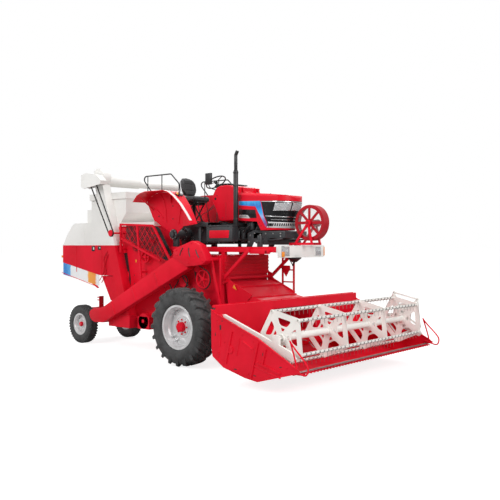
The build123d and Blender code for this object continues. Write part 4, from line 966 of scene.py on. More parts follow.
def makeBonnetDetail():
    look = bonnetLook
    half = look["half"]
    path = nosePath()
    length = sum((Vector(b) - Vector(a)).length for a, b in zip(path, path[1:]))
    stripe, window, silver, bright, lens, dark = newParts(6)

    def addToSides(bm, outline, outer, soft=0.0, rounded=0.0):
        addPlate(bm, outline, half - 0.001, half + outer, soft, rounded)
        addPlate(bm, outline, -half - outer, 0.001 - half, soft, rounded)

    def wrap(bm, start, end, low, high, stand, soft=0.0):
        addWrap(bm, cutPath(path, start, end), low, high, stand, soft)

    def level(z):
        return (z, z)

    addToSides(stripe, look["stripe"], 0.0012)
    addToSides(window, look["window"], 0.002, 0.0008, 0.012)
    addToSides(silver, look["louvre"], 0.004, 0.001, 0.006)
    # black plates in the louvre's slots: painted shade inside each slot
    for step in range(look["louvreSlots"]):
        x = 0.622 + step * 0.03
        addToSides(dark, ((x, 2.59), (x + 0.012, 2.589), (x + 0.018, 2.556), (x + 0.006, 2.557)), 0.0046)
    addSideBolts(dark, look["bolts"], half, 0.006, 0.003)
    # bright strips and the silver band that run right round the nose
    for start, low, high, stand, soft in look["strips"]:
        wrap(bright, start, length - start, low, high, stand, soft)
    band = look["band"]
    wrap(silver, band, length - band, look["bandLow"], look["bandHigh"], 0.004, 0.002)
    # black patches in the band's slots: painted shade inside each slot
    for step in range(look["bandSlots"]):
        start = band + 0.046 + step * look["slotPitch"]
        if start + 0.026 < length - band - 0.04:
            wrap(dark, start, start + 0.024, level(2.392), level(2.44), 0.0052)
    low, high = look["lampZ"]
    for start, end in look["lamps"]:
        for first, last in ((start, end), (length - end, length - start)):
            wrap(lens, first, last, level(low), level(high), 0.007, 0.003)
            wrap(bright, first - 0.005, last + 0.005, level(low - 0.006), level(low + 0.001), 0.006, 0.001)
            wrap(bright, first - 0.005, last + 0.005, level(high - 0.001), level(high + 0.005), 0.006, 0.001)
    # mesh behind the lower bright strip
    for step in range(8):
        z = 2.585 + step * 0.008
        wrap(window, 0.9, length - 0.9, level(z), level(z + 0.003), 0.0015)
    # rubber stops and the small latch on the bonnet's top
    for y in (0.2, -0.2):
        addRod(dark, (1.2, y, 2.938), (1.2, y, 2.95), 0.012, 0.01, 14)
    addBox(bright, (1.46, -0.05, 2.904), (1.5, 0.05, 2.916), 0.004)
    for name, bm, dress in (("bonnetStripe", stripe, "blueStripe"), ("bonnetSideWindow", window, "glossBlack"),
                            ("bonnetLouvres", silver, "silverPaint"), ("bonnetBrightwork", bright, "chromeTrim"),
                            ("headlamps", lens, "clearLens"), ("bonnetSlotShadeAndFittings", dark, "blackPaint")):
        finishPiece(name, bm, dress, "bonnet")


makeBonnetDetail()
print("bonnet")

# driver's place

cabLook = {
    "cowlTop": ((-0.107, 3.14), (-0.06, 3.166), (0.06, 3.184), (0.275, 3.176), (0.3, 3.15), (0.15, 3.146),
                (0.03, 3.056)),
    "arch": ((-1.38, 3.048), (-1.26, 3.07), (-0.76, 3.07), (-0.64, 3.038), (-0.5, 2.955), (-0.333, 2.814),
             (-0.164, 2.624), (-0.07, 2.505)),
    "edge": ((-1.611, 2.892), (-1.494, 3.005), (-1.38, 3.048), (-1.26, 3.07), (-0.76, 3.07), (-0.64, 3.038),
             (-0.5, 2.955), (-0.333, 2.814), (-0.164, 2.624), (-0.032, 2.45)),
    "ribs": (((-1.2, 3.03), (-1.1, 2.9), (-1.05, 2.72), (-1.03, 2.5)),
             ((-0.66, 3.0), (-0.63, 2.85), (-0.66, 2.66), (-0.7, 2.46)), ((-1.48, 2.8), (-1.28, 2.72), (-1.12, 2.58))),
    "bolts": ((-1.25, 2.62), (-0.86, 2.56), (-0.5, 2.52), (-0.86, 2.8)),
    "stripeY": (0.82, 0.89), "panelY": 0.56, "edgeY": 0.896, "lamp": (-0.545, 0.69, 2.982)}


def addArchStrip(bm, outline, y0, y1, stand, thick):
    # sheet strip that follows the fender's arch
    part = bmesh.new()
    for first, second in zip(outline, outline[1:]):
        along = Vector((second[0] - first[0], second[1] - first[1])).normalized()
        x, z = Vector((-along.y, along.x)) * stand
        part.faces.new([part.verts.new((end[0] + x, y, end[1] + z)) for end, y in
                        ((first, y0), (second, y0), (second, y1), (first, y1))])
    bmesh.ops.remove_doubles(part, verts=part.verts, dist=stand * 1.2 + 0.0002)
    bmesh.ops.recalc_face_normals(part, faces=part.faces)
    thicken(part, thick)
    joinInto(bm, part)


def makeCabDetail():
    look = cabLook
    bm = bmesh.new()
    addPlate(bm, look["cowlTop"], -0.24, 0.24, 0.008)
    addBox(bm, (-0.085, -0.16, 2.99), (-0.052, 0.16, 3.12), 0.01)
    for side in sides:
        addRod(bm, (-0.08, side * 0.09, 3.055), (-0.095, side * 0.09, 3.055), 0.055, 0.052, 32, 0.003)
        addRod(bm, (0.02, side * 0.328, 2.905), (0.02, side * 0.337, 2.905), 0.024, 0.02, 24)
    finishPiece("dashHood", bm, "glossBlack")

    white, grey, red, dark, amber, clear = newParts(6)
    inner, outer = look["stripeY"]
    for side in sides:
        addArchStrip(white, look["arch"], side * (inner + 0.012), side * (outer - 0.012), 0.0014, 0.0012)
        addArchStrip(grey, look["arch"], side * inner, side * outer, 0.0007, 0.0006)
        # rolled outer edge of the arch, then the ribs and braces under it
        addRun(red, [(x, z - 0.004) for x, z in look["edge"]], side * look["edgeY"], 0.0075)
        for points in look["ribs"]:
            addRun(red, points, side * (look["panelY"] + 0.002), 0.011)
        addBar(red, (-0.9, side * 0.572, 2.86), (-0.9, side * 0.6, 3.05), 0.03, 0.03)
        addRod(red, (-0.56, side * 0.6, 2.7), (-0.36, side * 0.86, 2.8), 0.011, segments=10)
        addRod(red, (-1.4, side * 0.565, 2.74), (-1.46, side * 0.86, 2.98), 0.011, segments=10)
        # turn lamps on the arch's front slope
        x, y, z = look["lamp"]
        slope = Vector((0.6, 0, 0.8)).normalized()
        for glass, across in ((clear, -0.035), (amber, 0.045)):
            base = Vector((x, side * (y + across), z)) - slope * 0.004
            addRod(dark, base, base + slope * 0.026, 0.046, 0.044, 28, 0.004)
            addRod(glass, base + slope * 0.024, base + slope * 0.052, 0.042, 0.028, 28, 0.004)
    addSideBolts(dark, look["bolts"], look["panelY"], 0.01, 0.008)
    finishPiece("fenderStripe", white, "whitePaint")
    finishPiece("fenderStripeEdge", grey, "silverPaint")
    finishPiece("fenderPressings", red, "redPaint")
    finishPiece("fenderLampBases", dark, "blackPaint")
    finishPiece("fenderLampsAmber", amber, "amberLens")
    finishPiece("fenderLampsClear", clear, "clearLens")


makeCabDetail()
print("driver's place")

# padded seat

seatLook = {
    "voxel": 0.006, "cap": 0.012, "frames": 20, "pressure": 4.0, "quality": 5, "seam": 0.007, "seamWidth": 0.011,
    "cushion": {"low": (-1.024, -0.238, 2.909), "high": (-0.652, 0.238, 2.99), "round": 0.035, "held": 2.915},
    "back": {"low": 3.01, "high": 3.366, "half": 0.192, "thick": 0.05, "round": 0.02, "base": -1.02, "top": -1.088},
    "rim": ((0.115, 3.01), (0.178, 3.06), (0.19, 3.17), (0.172, 3.28), (0.105, 3.352))}


def padForm(low, high, rounding):
    # soft-cornered block with enough faces to bulge
    part = newBlock(low, high)
    bevelBy(part, list(part.edges), rounding, 4)
    return part


def evaluatedMesh(item):
    return bpy.data.meshes.new_from_object(item.evaluated_get(bpy.context.evaluated_depsgraph_get()))


def puffPad(name, bm, pinned):
    # remesh, let the air pressure swell it a little, and keep the swelling under a cap
    pad = linkMesh(name, bm)
    block = pad.data
    remesh = pad.modifiers.new("remesh", "REMESH")
    remesh.mode = "VOXEL"
    remesh.voxel_size = seatLook["voxel"]
    even = evaluatedMesh(pad)
    pad.modifiers.clear()
    pad.data = even
    bpy.data.meshes.remove(block)
    start = [vert.co.copy() for vert in even.vertices]
    group = pad.vertex_groups.new(name="held")
    group.add([v.index for v in even.vertices if pinned(v.co)], 1.0, "REPLACE")
    settings = pad.modifiers.new("cloth", "CLOTH").settings
    settings.use_pressure = True
    settings.uniform_pressure_force = seatLook["pressure"]
    settings.effector_weights.gravity = 0
    settings.vertex_group_mass = "held"
    settings.quality = seatLook["quality"]
    scene = bpy.context.scene
    for number in range(1, seatLook["frames"] + 1):
        scene.frame_set(number)
    puffed = evaluatedMesh(pad)
    for vert, origin in zip(puffed.vertices, start):
        shift = vert.co - origin
        if shift.length > seatLook["cap"]:
            vert.co = origin + shift.normalized() * seatLook["cap"]
    pad.modifiers.clear()
    pad.data = puffed
    bpy.data.meshes.remove(even)
    scene.frame_set(1)
    bm = bmesh.new()
    padMesh = pad.data
    bm.from_mesh(padMesh)
    bpy.data.objects.remove(pad)
    bpy.data.meshes.remove(padMesh)
    for _ in range(2):
        bmesh.ops.smooth_vert(bm, verts=bm.verts, factor=0.5, use_axis_x=True, use_axis_y=True, use_axis_z=True)
    return bm


def sewChannels(bm, lines, facing):
    # press sewn lines into the pad where its surface faces the right way
    width = seatLook["seamWidth"]
    bm.normal_update()
    for vert in bm.verts:
        if vert.normal.dot(facing) < 0.3:
            continue
        for distance in (line(vert.co) for line in lines):
            if distance < width:
                vert.co -= facing * seatLook["seam"] * (1 - (distance / width) ** 2) ** 2


def seamLines(axis, places, split):
    # two lengthways seams, and cross seams between them
    def crossing(place):
        return lambda co: abs(co[axis] - place) + (0.1 if abs(co.y) > split else 0)
    return [lambda co: abs(abs(co.y) - split)] + [crossing(place) for place in places]


def backShape(z):
    # half-width of the rounded backrest at a height
    look = seatLook["back"]
    reach = (z - 0.5 * (look["low"] + look["high"])) / (0.5 * (look["high"] - look["low"]))
    wide = (max(0.0, 1 - abs(reach) ** 2.6)) ** (1 / 2.6)
    return look["half"] * (wide if reach > 0 else max(wide, 0.62))


def makeSeat():
    cushion = seatLook["cushion"]
    bm = padForm(cushion["low"], cushion["high"], cushion["round"])
    for vert in bm.verts:
        # rounded front corners, and a dished middle
        vert.co.y *= 1 - 0.16 * max(0.0, (vert.co.x + 0.76) / 0.11) ** 2
        if vert.co.z > 2.94:
            vert.co.z += 0.01 * (abs(vert.co.y) / 0.218) ** 2 - 0.006
    bm = puffPad("cushionStart", bm, lambda co: co.z < cushion["held"])
    sewChannels(bm, seamLines(0, (-0.8, -0.92), 0.125), Vector((0, 0, 1)))
    piece = finishPiece("seatCushion", bm, "seatVinyl", node="seat_cushions", angle=60)

    look = seatLook["back"]
    low, half = look["low"], look["half"]
    lean = (look["top"] - look["base"]) / (look["high"] - low)
    bm = padForm((-look["thick"] / 2, -half, low), (look["thick"] / 2, half, look["high"]), look["round"])
    bmesh.ops.subdivide_edges(bm, edges=[e for e in bm.edges if e.calc_length() > 0.05], cuts=9, use_grid_fill=True)
    for vert in bm.verts:
        vert.co.y *= backShape(vert.co.z) / half
        vert.co.x += look["base"] + (vert.co.z - low) * lean + 0.02 * (vert.co.y / half) ** 2
    bm = puffPad("backStart", bm, lambda co: co.x < look["base"] + (co.z - low) * -0.191 - 0.018)
    sewChannels(bm, seamLines(2, (3.13, 3.25), 0.105), Vector((1, 0, 0)))
    piece = finishPiece("seatBack", bm, "seatVinyl", node="seat_cushions", angle=60)

    # piping round the backrest, its two brackets and the cushion's base
    bm = bmesh.new()
    rim = list(seatLook["rim"])
    edge = [(look["base"] + (z - low) * lean - 0.016, y, z) for y, z in
            rim + [(0.0, look["high"])] + [(-y, z) for y, z in reversed(rim)]]
    for start, end in zip(edge, edge[1:]):
        addRod(bm, start, end, 0.006, segments=8)
    for z in (3.08, 3.16):
        x = look["base"] + (z - low) * lean
        addBox(bm, (x - 0.034, -0.11, z - 0.012), (x - 0.022, 0.11, z + 0.012), 0.004)
    addBox(bm, (-1.022, -0.2, 2.9055), (-0.69, 0.2, 2.913), 0.003)
    finishPiece("seatPiping", bm, "blackPaint")


makeSeat()
print("seat")

# battery box, light bar, horn

boxLook = {
    "y": -0.6, "panel": ((0.135, 2.33), (0.615, 2.33), (0.6, 2.197), (0.135, 2.197)),
    "frames": ((((0.118, 2.346), (0.632, 2.346), (0.616, 2.181), (0.118, 2.181)), 0.006, 0.012, 0.018, 0.002),
               (((0.066, 2.392), (0.674, 2.392), (0.674, 2.139), (0.066, 2.139)), 0.004, 0.014, 0.02, 0.0015)),
    "bolts": ((0.084, 2.16), (0.084, 2.372), (0.656, 2.16), (0.656, 2.372)), "vents": 7}
barLook = {
    "face": 1.8, "lamps": (-0.52, 0.345), "half": 0.086, "low": 1.888, "high": 2.053, "right": -0.65, "left": 0.5,
    "horn": (((1.745, -0.247, 1.871), (1.745, -0.247, 1.858), 0.118, 0.118, 40, 0.003),
             ((1.745, -0.247, 1.858), (1.745, -0.247, 1.795), 0.116, 0.038, 40, 0.002),
             ((1.745, -0.247, 1.8), (1.69, -0.215, 1.735), 0.016, 0.013, 14, 0.0),
             ((1.69, -0.215, 1.74), (1.56, -0.2, 1.905), 0.008, 0.008, 10, 0.0))}


def makeBoxDetail():
    look = boxLook
    y = look["y"]
    red, dark = newParts(2)
    addPlate(red, look["panel"], y - 0.004, y + 0.001, 0.0015, 0.014)
    for outline, stand, width, rounded, soft in look["frames"]:
        addFrame(dark, outline, y - stand, y + 0.001, width, rounded, soft)
    addSideBolts(dark, look["bolts"], -y, 0.009, 0.007, (-1,))
    for x in (0.16, 0.58):
        addBox(dark, (x - 0.02, y - 0.01, 2.385), (x + 0.02, y + 0.001, 2.428), 0.004)
    for step in range(look["vents"]):
        z = 2.18 + step * 0.026
        addBox(dark, (0.6765, -0.575, z), (0.683, -0.475, z + 0.01), 0.0015)
    finishPiece("boxPanel", red, "redPaint")
    finishPiece("boxTrim", dark, "charcoalPaint")


def makeBarDetail():
    look = barLook
    face, half, low, high = look["face"], look["half"], look["low"], look["high"]
    right, left, middle = look["right"], look["left"], (look["low"] + look["high"]) / 2
    dark, lens, amber, white, bulbs = newParts(5)
    for y in look["lamps"]:
        part = bmesh.new()
        part.faces.new([part.verts.new((face - 0.002, y + side * half, z)) for side, z in
                        ((-1, low), (1, low), (1, high), (-1, high))])
        bevelBy(part, list(part.verts), 0.034, 5, "VERTICES")
        hollowOut(part, 0.019)
        pushOut(part, (0.016, 0, 0))
        softenEdges(part, 0.004)
        joinInto(dark, part)
        # domed lens with its reflector bowl
        addRod(lens, (face + 0.004, y, middle), (face + 0.012, y, middle), 0.064, 0.05, 40, 0.003)
        addRod(bulbs, (face + 0.0105, y, middle), (face + 0.0135, y, middle), 0.02, 0.014, 24)
    for bm, x0, x1, y0, y1, z0, z1, soft in (
            (amber, 0, 0.0245, right + 0.006, right + 0.056, 1.888, 1.966, 0.006),
            (lens, 0, 0.0245, right + 0.006, right + 0.056, 1.969, 2.052, 0.006),
            (dark, -0.001, 0.004, right + 0.002, right + 0.06, 1.883, 2.057, 0.003),
            (dark, -0.074, -0.016, left + 0.001, left + 0.044, 1.886, 2.055, 0.008),
            (amber, -0.019, -0.006, left + 0.006, left + 0.04, 1.895, 2.045, 0.004),
            (white, -0.001, 0.006, right, left, 2.0605, 2.0685, 0.002),
            (white, -0.001, 0.006, right, left, 1.8725, 1.8805, 0.002)):
        addBox(bm, (face + x0, y0, z0), (face + x1, y1, z1), soft)
    for y in (-0.27, 0.23):
        for z in (1.905, 2.035):
            addBolt(white, (face, y, z), (1, 0, 0), 0.01, 0.005)
    for start, end, radius, tip, segments, soft in look["horn"]:
        addRod(dark, start, end, radius, tip, segments, soft)
    finishPiece("lampBezels", dark, "blackPaint")
    finishPiece("barLenses", lens, "clearLens")
    finishPiece("barIndicators", amber, "amberLens")
    finishPiece("barTrim", white, "whitePaint")
    finishPiece("barBulbs", bulbs, "chromeTrim")


makeBoxDetail()
makeBarDetail()
print("battery box and light bar")

# engine's side: hoses, bolts and bright fittings

engineLook = {
    "hoses": (((0.5, -0.24, 2.3), (0.56, -0.27, 2.42), (0.66, -0.25, 2.47), (0.74, -0.19, 2.44)),
              ((0.62, -0.25, 2.28), (0.7, -0.29, 2.34), (0.8, -0.28, 2.42), (0.86, -0.24, 2.44)),
              ((0.44, -0.17, 2.2), (0.5, -0.28, 2.17), (0.66, -0.29, 2.16), (0.8, -0.22, 2.2)),
              ((0.9, -0.17, 2.44), (0.98, -0.29, 2.45), (1.06, -0.28, 2.38), (1.1, -0.22, 2.33)),
              ((-0.1, -0.2, 2.42), (0.02, -0.26, 2.49), (0.16, -0.28, 2.5), (0.34, -0.2, 2.44)),
              ((-0.5, -0.22, 2.44), (-0.36, -0.3, 2.5), (-0.2, -0.3, 2.46), (-0.06, -0.21, 2.4))),
    "wires": (((0.36, -0.17, 2.4), (0.48, -0.25, 2.36), (0.6, -0.28, 2.36), (0.78, -0.24, 2.4)),
              ((0.66, -0.16, 2.48), (0.76, -0.24, 2.52), (0.9, -0.24, 2.5), (1.02, -0.2, 2.46)),
              ((-0.7, -0.2, 2.4), (-0.56, -0.32, 2.44), (-0.3, -0.34, 2.38), (-0.1, -0.21, 2.3))),
    "flanges": (-0.316, -0.016, 0.35),
    "circles": ((-0.2, 2.29, 0.066, 0, 0.214, 0.008, 0.007), (-0.83, 2.275, 0.1, 20, 0.33, 0.01, 0.009),
                (-0.83, 2.275, 0.08, 0, 0.584, 0.009, 0.009)),
    "covers": ((-0.48, 2.36, 0.055, 0.17), (-0.7, 2.2, 0.045, 0.2), (0.2, 2.2, 0.05, 0.17), (-0.1, 2.18, 0.035, 0.17)),
    "ribs": (-0.28, -0.24, -0.14, -0.1, 0.03, 0.09, 0.25, 0.29),
    "bracketBolts": ((0.83, 2.24), (0.93, 2.28), (1.06, 2.25), (1.18, 2.27), (1.34, 2.27), (1.5, 2.27), (1.5, 2.22),
                     (0.8, 2.13)),
    "webs": (((0.9, 2.3), (1.56, 2.292), (1.56, 2.276), (0.9, 2.284)),
             ((1.12, 2.206), (1.56, 2.21), (1.56, 2.196), (1.12, 2.192))),
    "plugs": ((0.5, 0.235, 2.334), (0.61, 0.235, 2.314), (0.83, 0.235, 2.474)), "injectors": 4}


def makeEngineDetail():
    look = engineLook
    rubber, dark, metal = newParts(3)
    for side in sides:
        for routes, radius, segments in (("hoses", 0.013, 8), ("wires", 0.006, 6)):
            for points in look[routes]:
                addHose(rubber, [(x, -side * y, z) for x, y, z in points], radius, segments)
        # bolts round the gearbox flanges and on its circles
        for x in look["flanges"]:
            for step in range(5):
                addBolt(metal, (x, side * 0.196, 2.12 + step * 0.082), (1, 0, 0), 0.01, 0.008)
        for x, z, circle, first, y, radius, height in look["circles"]:
            places = [polarPoint(x, z, circle, step * 45 + first) for step in range(8)]
            addSideBolts(metal, places, y, radius, height, (side,))
        # covers and ribs on the gearbox's side
        for x, z, radius, deep in look["covers"]:
            addRod(dark, (x, side * (deep - 0.004), z), (x, side * (deep + 0.016), z), radius, radius * 0.9, 28, 0.003)
            places = [polarPoint(x, z, radius * 0.72, 45 + turn * 90) for turn in range(4)]
            addSideBolts(metal, places, deep + 0.016, 0.006, 0.005, (side,))
        for x in look["ribs"]:
            addBox(dark, (x - 0.005, side * 0.183 - 0.014, 2.13), (x + 0.005, side * 0.183 + 0.014, 2.44), 0.003)
        # bolts and webs of the front bracket
        addSideBolts(metal, look["bracketBolts"], 0.3, 0.012, 0.01, (side,))
        for outline in look["webs"]:
            addPlate(dark, outline, side * 0.303 - 0.004, side * 0.303 + 0.004, 0.002)
        # fittings of pump and filters
        for x, y, z in look["plugs"]:
            addRod(metal, (x, side * y, z - 0.004), (x, side * y, z + 0.016), 0.014, 0.012, 6)
        for step in range(look["injectors"]):
            x, y = 0.712 + step * 0.025, side * 0.215
            addRod(metal, (x, y, 2.448), (x, y, 2.462), 0.008, 0.007, 6)
    finishPiece("engineHoses", rubber, "beltRubber", angle=60)
    finishPiece("engineCovers", dark, "charcoalPaint")
    finishPiece("engineBolts", metal, "greySteel")


makeEngineDetail()
print("engine's side")

# exhaust

exhaustLook = {"x": 0.6, "y": -0.42, "clamps": (2.52, 3.1, 3.325), "radius": 0.042}


def makeExhaustDetail():
    look = exhaustLook
    x, y, radius = look["x"], look["y"], look["radius"]
    dark = bmesh.new()
    for z in look["clamps"]:
        addRod(dark, (x, y, z - 0.011), (x, y, z + 0.011), radius + 0.004, segments=32, soft=0.002)
        addBox(dark, (x - 0.01, y - radius - 0.016, z - 0.009), (x + 0.01, y - radius + 0.002, z + 0.009), 0.002)
        addRod(dark, (x - 0.016, y - radius - 0.009, z), (x + 0.016, y - radius - 0.009, z), 0.005, segments=8)
    addRod(dark, (x, y, 3.348), (x, y, 3.372), radius + 0.001, 0.0315, 32)
    addRod(dark, (x, y, 3.48), (x, y, 3.492), 0.0325, segments=28, soft=0.002)
    finishPiece("exhaustClamps", dark, "blackPaint")


makeExhaustDetail()
print("exhaust")

# thresher, hood and elevators: seams, hatches, bolts, grips

bodyLook = {
    "side": 0.6, "grips": ((-3.347, -3.239, 1.947, 2.053), (-3.132, -3.027, 1.975, 2.053)),
    "hatches": ((-1.95, -1.42, 1.14, 1.5), (-1.06, -0.68, 1.1, 1.46), (-0.56, -0.16, 1.62, 1.86),
                (-2.42, -2.1, 1.2, 1.55)),
    "hoodBolts": (-4.3, -4.05, -3.8, -3.55, -3.3, -3.05, -2.8),
    "reflectors": ((-4.47, -4.425, 1.8, 1.85), (-1.905, -1.865, 1.735, 1.79)),
    "seams": ((-3.9, 1.5, -3.9, 2.04), (-3.0, 1.45, -3.0, 2.02), (-4.46, 1.47, -3.1, 1.2)),
    "sign": ((0.7, 1.352), (0.79, 1.312), (0.73, 1.404))}


def makeBodyDetail():
    look = bodyLook
    red, dark, amber, white, sign = newParts(5)
    for side in sides:
        y = side * look["side"]
        for x0, x1, z0, z1 in look["hatches"]:
            addBox(red, (x0, y - 0.006, z0), (x1, y + 0.006, z1), 0.004)
            left, right, low, high = x0 + 0.03, x1 - 0.03, z0 + 0.03, z1 - 0.03
            addFrame(red, ((left, low), (right, low), (right, high), (left, high)), y - 0.01, y + 0.01, 0.014, 0.02,
                     0.002)
            places = [(x, z) for x in (x0 + 0.016, x1 - 0.016) for z in (z0 + 0.016, z1 - 0.016, (z0 + z1) / 2)]
            addSideBolts(dark, places, look["side"] + 0.006, 0.007, 0.005, (side,))
        for x0, x1, z0, z1 in look["grips"]:
            addBox(dark, (x0, y - 0.007, z0), (x1, y + 0.007, z1), 0.006)
            addBox(white, (x0 + 0.055, y - 0.01, z0 + 0.03), (x1 - 0.012, y + 0.01, z1 - 0.022), 0.006)
        for bm, z in ((white, 2.1), (red, 2.03)):
            addSideBolts(bm, [(x, z) for x in look["hoodBolts"]], look["side"], 0.008, 0.005, (side,))
        for x0, x1, z0, z1 in look["reflectors"]:
            addBox(amber, (x0, y - 0.006, z0), (x1, y + 0.006, z1), 0.004)
        for x0, z0, x1, z1 in look["seams"]:
            addRod(red, (x0, y, z0), (x1, y, z1), 0.006, segments=8)
        addRod(white, (-3.6, y, 2.09), (-3.6, y, 2.5), 0.005, segments=8)
    addPlate(sign, look["sign"], -0.607, -0.6, 0.001)
    finishPiece("bodyHatches", red, "redPaint")
    finishPiece("bodyGrips", dark, "blackPaint")
    finishPiece("bodyReflectors", amber, "amberLens")
    finishPiece("hoodSeams", white, "whitePaint")
    finishPiece("blankSign", sign, "amberLens", "header")


makeBodyDetail()
print("body details")

# front rotor's screen

screenLook = {"x": 1.92, "z": 2.44, "radius": 0.255, "pitch": 0.016, "wire": 0.0012, "y": (-0.064, -0.062)}


def makeScreen():
    look = screenLook
    x, z = look["x"], look["z"]
    upright, level = look["y"]
    bm = bmesh.new()
    count = int(look["radius"] / look["pitch"])
    for step in range(-count, count + 1):
        offset = step * look["pitch"]
        reach = (look["radius"] ** 2 - offset ** 2) ** 0.5
        addRod(bm, (x + offset, upright, z - reach), (x + offset, upright, z + reach), look["wire"], segments=4)
        addRod(bm, (x - reach, level, z + offset), (x + reach, level, z + offset), look["wire"], segments=4)
    finishPiece("rotorScreen", bm, "brightSteel", "rotor")


makeScreen()
print("rotor screen")

# rounder forms that stand for the plainer solids of the tractor, its seat place and the frame


def edgesOf(outline):
    return zip(outline, outline[1:] + outline[:1])


def insideOutline(x, z, outline):
    inside = False
    for (x0, z0), (x1, z1) in edgesOf(outline):
        if (z0 > z) != (z1 > z) and x < (x1 - x0) * (z - z0) / (z1 - z0) + x0:
            inside = not inside
    return inside


def cutAlong(part, outline):
    # splits the faces along the outline's edges, seen from the side
    for (x0, z0), (x1, z1) in edgesOf(outline):
        splitBy(part, plane_co=(x0, 0, z0), plane_no=(z0 - z1, 0, x1 - x0), dist=0.00001)


bonnetShape = {
    "top": 2.99, "low": 2.325, "widest": 2.79, "sheet": 0.005, "chamfer": 0.04, "fall": 46 / 625,
    "side": ((-0.28, 0.0), (-0.19, -0.025), (-0.11, -0.085), (-0.05, -0.17), (-0.01, -0.26)),
    "crown": ((0.573, 2.99), (1.2, 2.944), (1.56, 2.906), (1.626, 2.87), (1.641, 2.825)),
    "window": [(1.095, 2.822), (1.9, 2.8), (1.9, 2.374), (1.272, 2.374), (1.16, 2.58)],
    "sill": [(0.5, 2.3), (0.5, 2.508), (1.006, 2.474), (1.108, 2.3)],
    "hinge": (0.57, 3.078), "hingeY": (-0.2, 0.2), "eye": ((-0.018, 0.0075), (-0.018, 0.013), (0.018, 0.013),
                                                           (0.018, 0.0075))}


def bonnetSkin(inset):
    # closed form of the bonnet: rounded in plan, leaning back below, cut to its crown and chamfers
    look = bonnetShape
    part = bmesh.new()
    rings = []
    nose, half, rear = bonnetLook["nose"], bonnetLook["half"] - inset, bonnetLook["rear"]
    for z, tip in ((look["low"], nose - bonnetLook["lean"] * (look["widest"] - look["low"])),
                   (look["widest"], nose), (look["top"] + 0.05, nose)):
        reach = tip - inset
        side = [(rear, half)] + [(reach + x, half + y) for x, y in look["side"]]
        outline = side + [(reach, 0.0)] + [(x, -y) for x, y in reversed(side)]
        rings.append([part.verts.new((x, y, z)) for x, y in outline])
    for lower, upper in zip(rings, rings[1:]):
        for (low, high), (lowAfter, highAfter) in edgesOf(list(zip(lower, upper))):
            part.faces.new((low, lowAfter, highAfter, high))
    part.faces.new(rings[0])
    part.faces.new(rings[-1])
    planes = [((x0, 0, z0 - inset), (z0 - z1, 0, x1 - x0)) for (x0, z0), (x1, z1) in
              zip(look["crown"], look["crown"][1:])]
    planes += [((0.573, side * half, look["top"] - look["chamfer"] - inset), (look["fall"], side, 1))
               for side in sides]
    for place, normal in planes:
        cut = splitBy(part, plane_co=place, plane_no=normal, clear_outer=True)
        bmesh.ops.contextual_create(part, geom=[e for e in cut["geom_cut"] if isinstance(e, bmesh.types.BMEdge)])
    bmesh.ops.recalc_face_normals(part, faces=part.faces)
    softenEdges(part, 0.012, 3, 20)
    return part


def makeBonnetForm():
    look = bonnetShape
    x, z = look["hinge"]
    for name, node, inset in (("bonnetSkin", "bonnet_shell", 0.0), ("bonnetNosePanel", "bonnet_grille", 0.003)):
        isShell = node == "bonnet_shell"
        part = bonnetSkin(inset)
        cutAlong(part, look["window"])
        cutAlong(part, look["sill"])
        gone = []
        for face in part.faces:
            middle = face.calc_center_median()
            inWindow = insideOutline(middle.x, middle.z, look["window"])
            below = insideOutline(middle.x, middle.z, look["sill"]) or face.normal.z < -0.9 or face.normal.x < -0.9
            if below or inWindow == isShell:
                gone.append(face)
        bmesh.ops.delete(part, geom=gone, context="FACES")
        thicken(part, look["sheet"])
        bm = bmesh.new()
        joinInto(bm, part)
        for y in look["hingeY"] if isShell else ():
            addTurned(bm, look["eye"], (x, y, z), 24)
            addPlate(bm, ((x + 0.006, 2.982), (x + 0.034, 2.98), (x + 0.015, z + 0.004), (x + 0.008, z)),
                     y - 0.018, y + 0.018, 0.002)
        finishPiece(name, bm, "redPaint" if isShell else "glossBlack", "bonnet", node)


cowlShape = {
    "outline": ((0.097, 2.54), (-0.006, 2.758), (-0.084, 2.87), (-0.05, 2.99), (0.007, 3.085), (0.06, 3.115),
                (0.123, 3.134), (0.275, 3.141), (0.4, 3.124), (0.474, 3.098), (0.499, 3.035), (0.56, 3.005),
                (0.56, 2.5), (0.12, 2.5)),
    "half": 0.33, "round": 0.03, "boxes": ((0.13, 0.3, -0.16, 0.16, 2.47, 2.505),), "seam": 0.28,
    "bolts": ((0.2, 2.56), (0.5, 2.56), (0.5, 2.96), (0.06, 2.96))}


def makeCowlForm():
    look = cowlShape
    half, seam = look["half"], look["seam"]
    x, z = bonnetShape["hinge"]
    bm, part, dark = newParts(3)
    sideFace(part, look["outline"], -half)
    pushOut(part, (0, 2 * half, 0))
    softenEdges(part, look["round"], 4, 50)
    joinInto(bm, part)
    addBoxes(bm, look["boxes"])
    ear = ((x - 0.07, 3.03), (x - 0.062, z - 0.01), (x - 0.03, z + 0.012), (x, z + 0.012), (x + 0.01, z),
           (x - 0.01, z - 0.02), (x - 0.01, 3.0))
    for y in bonnetShape["hingeY"]:
        addRod(bm, (x, y - 0.04, z), (x, y + 0.04, z), 0.006)
        for inner in (y - 0.04, y + 0.02):
            addPlate(bm, ear, inner, inner + 0.02, 0.003, 0.004)
    finishPiece("cowlForm", bm, "redPaint", node="cowl")
    for side in sides:
        addBox(dark, (seam - 0.002, side * half - 0.001, 2.53), (seam + 0.002, side * half + 0.001, 2.83), 0.0)
    addSideBolts(dark, look["bolts"], half, 0.007, 0.004)
    finishPiece("cowlSeams", dark, "blackPaint")


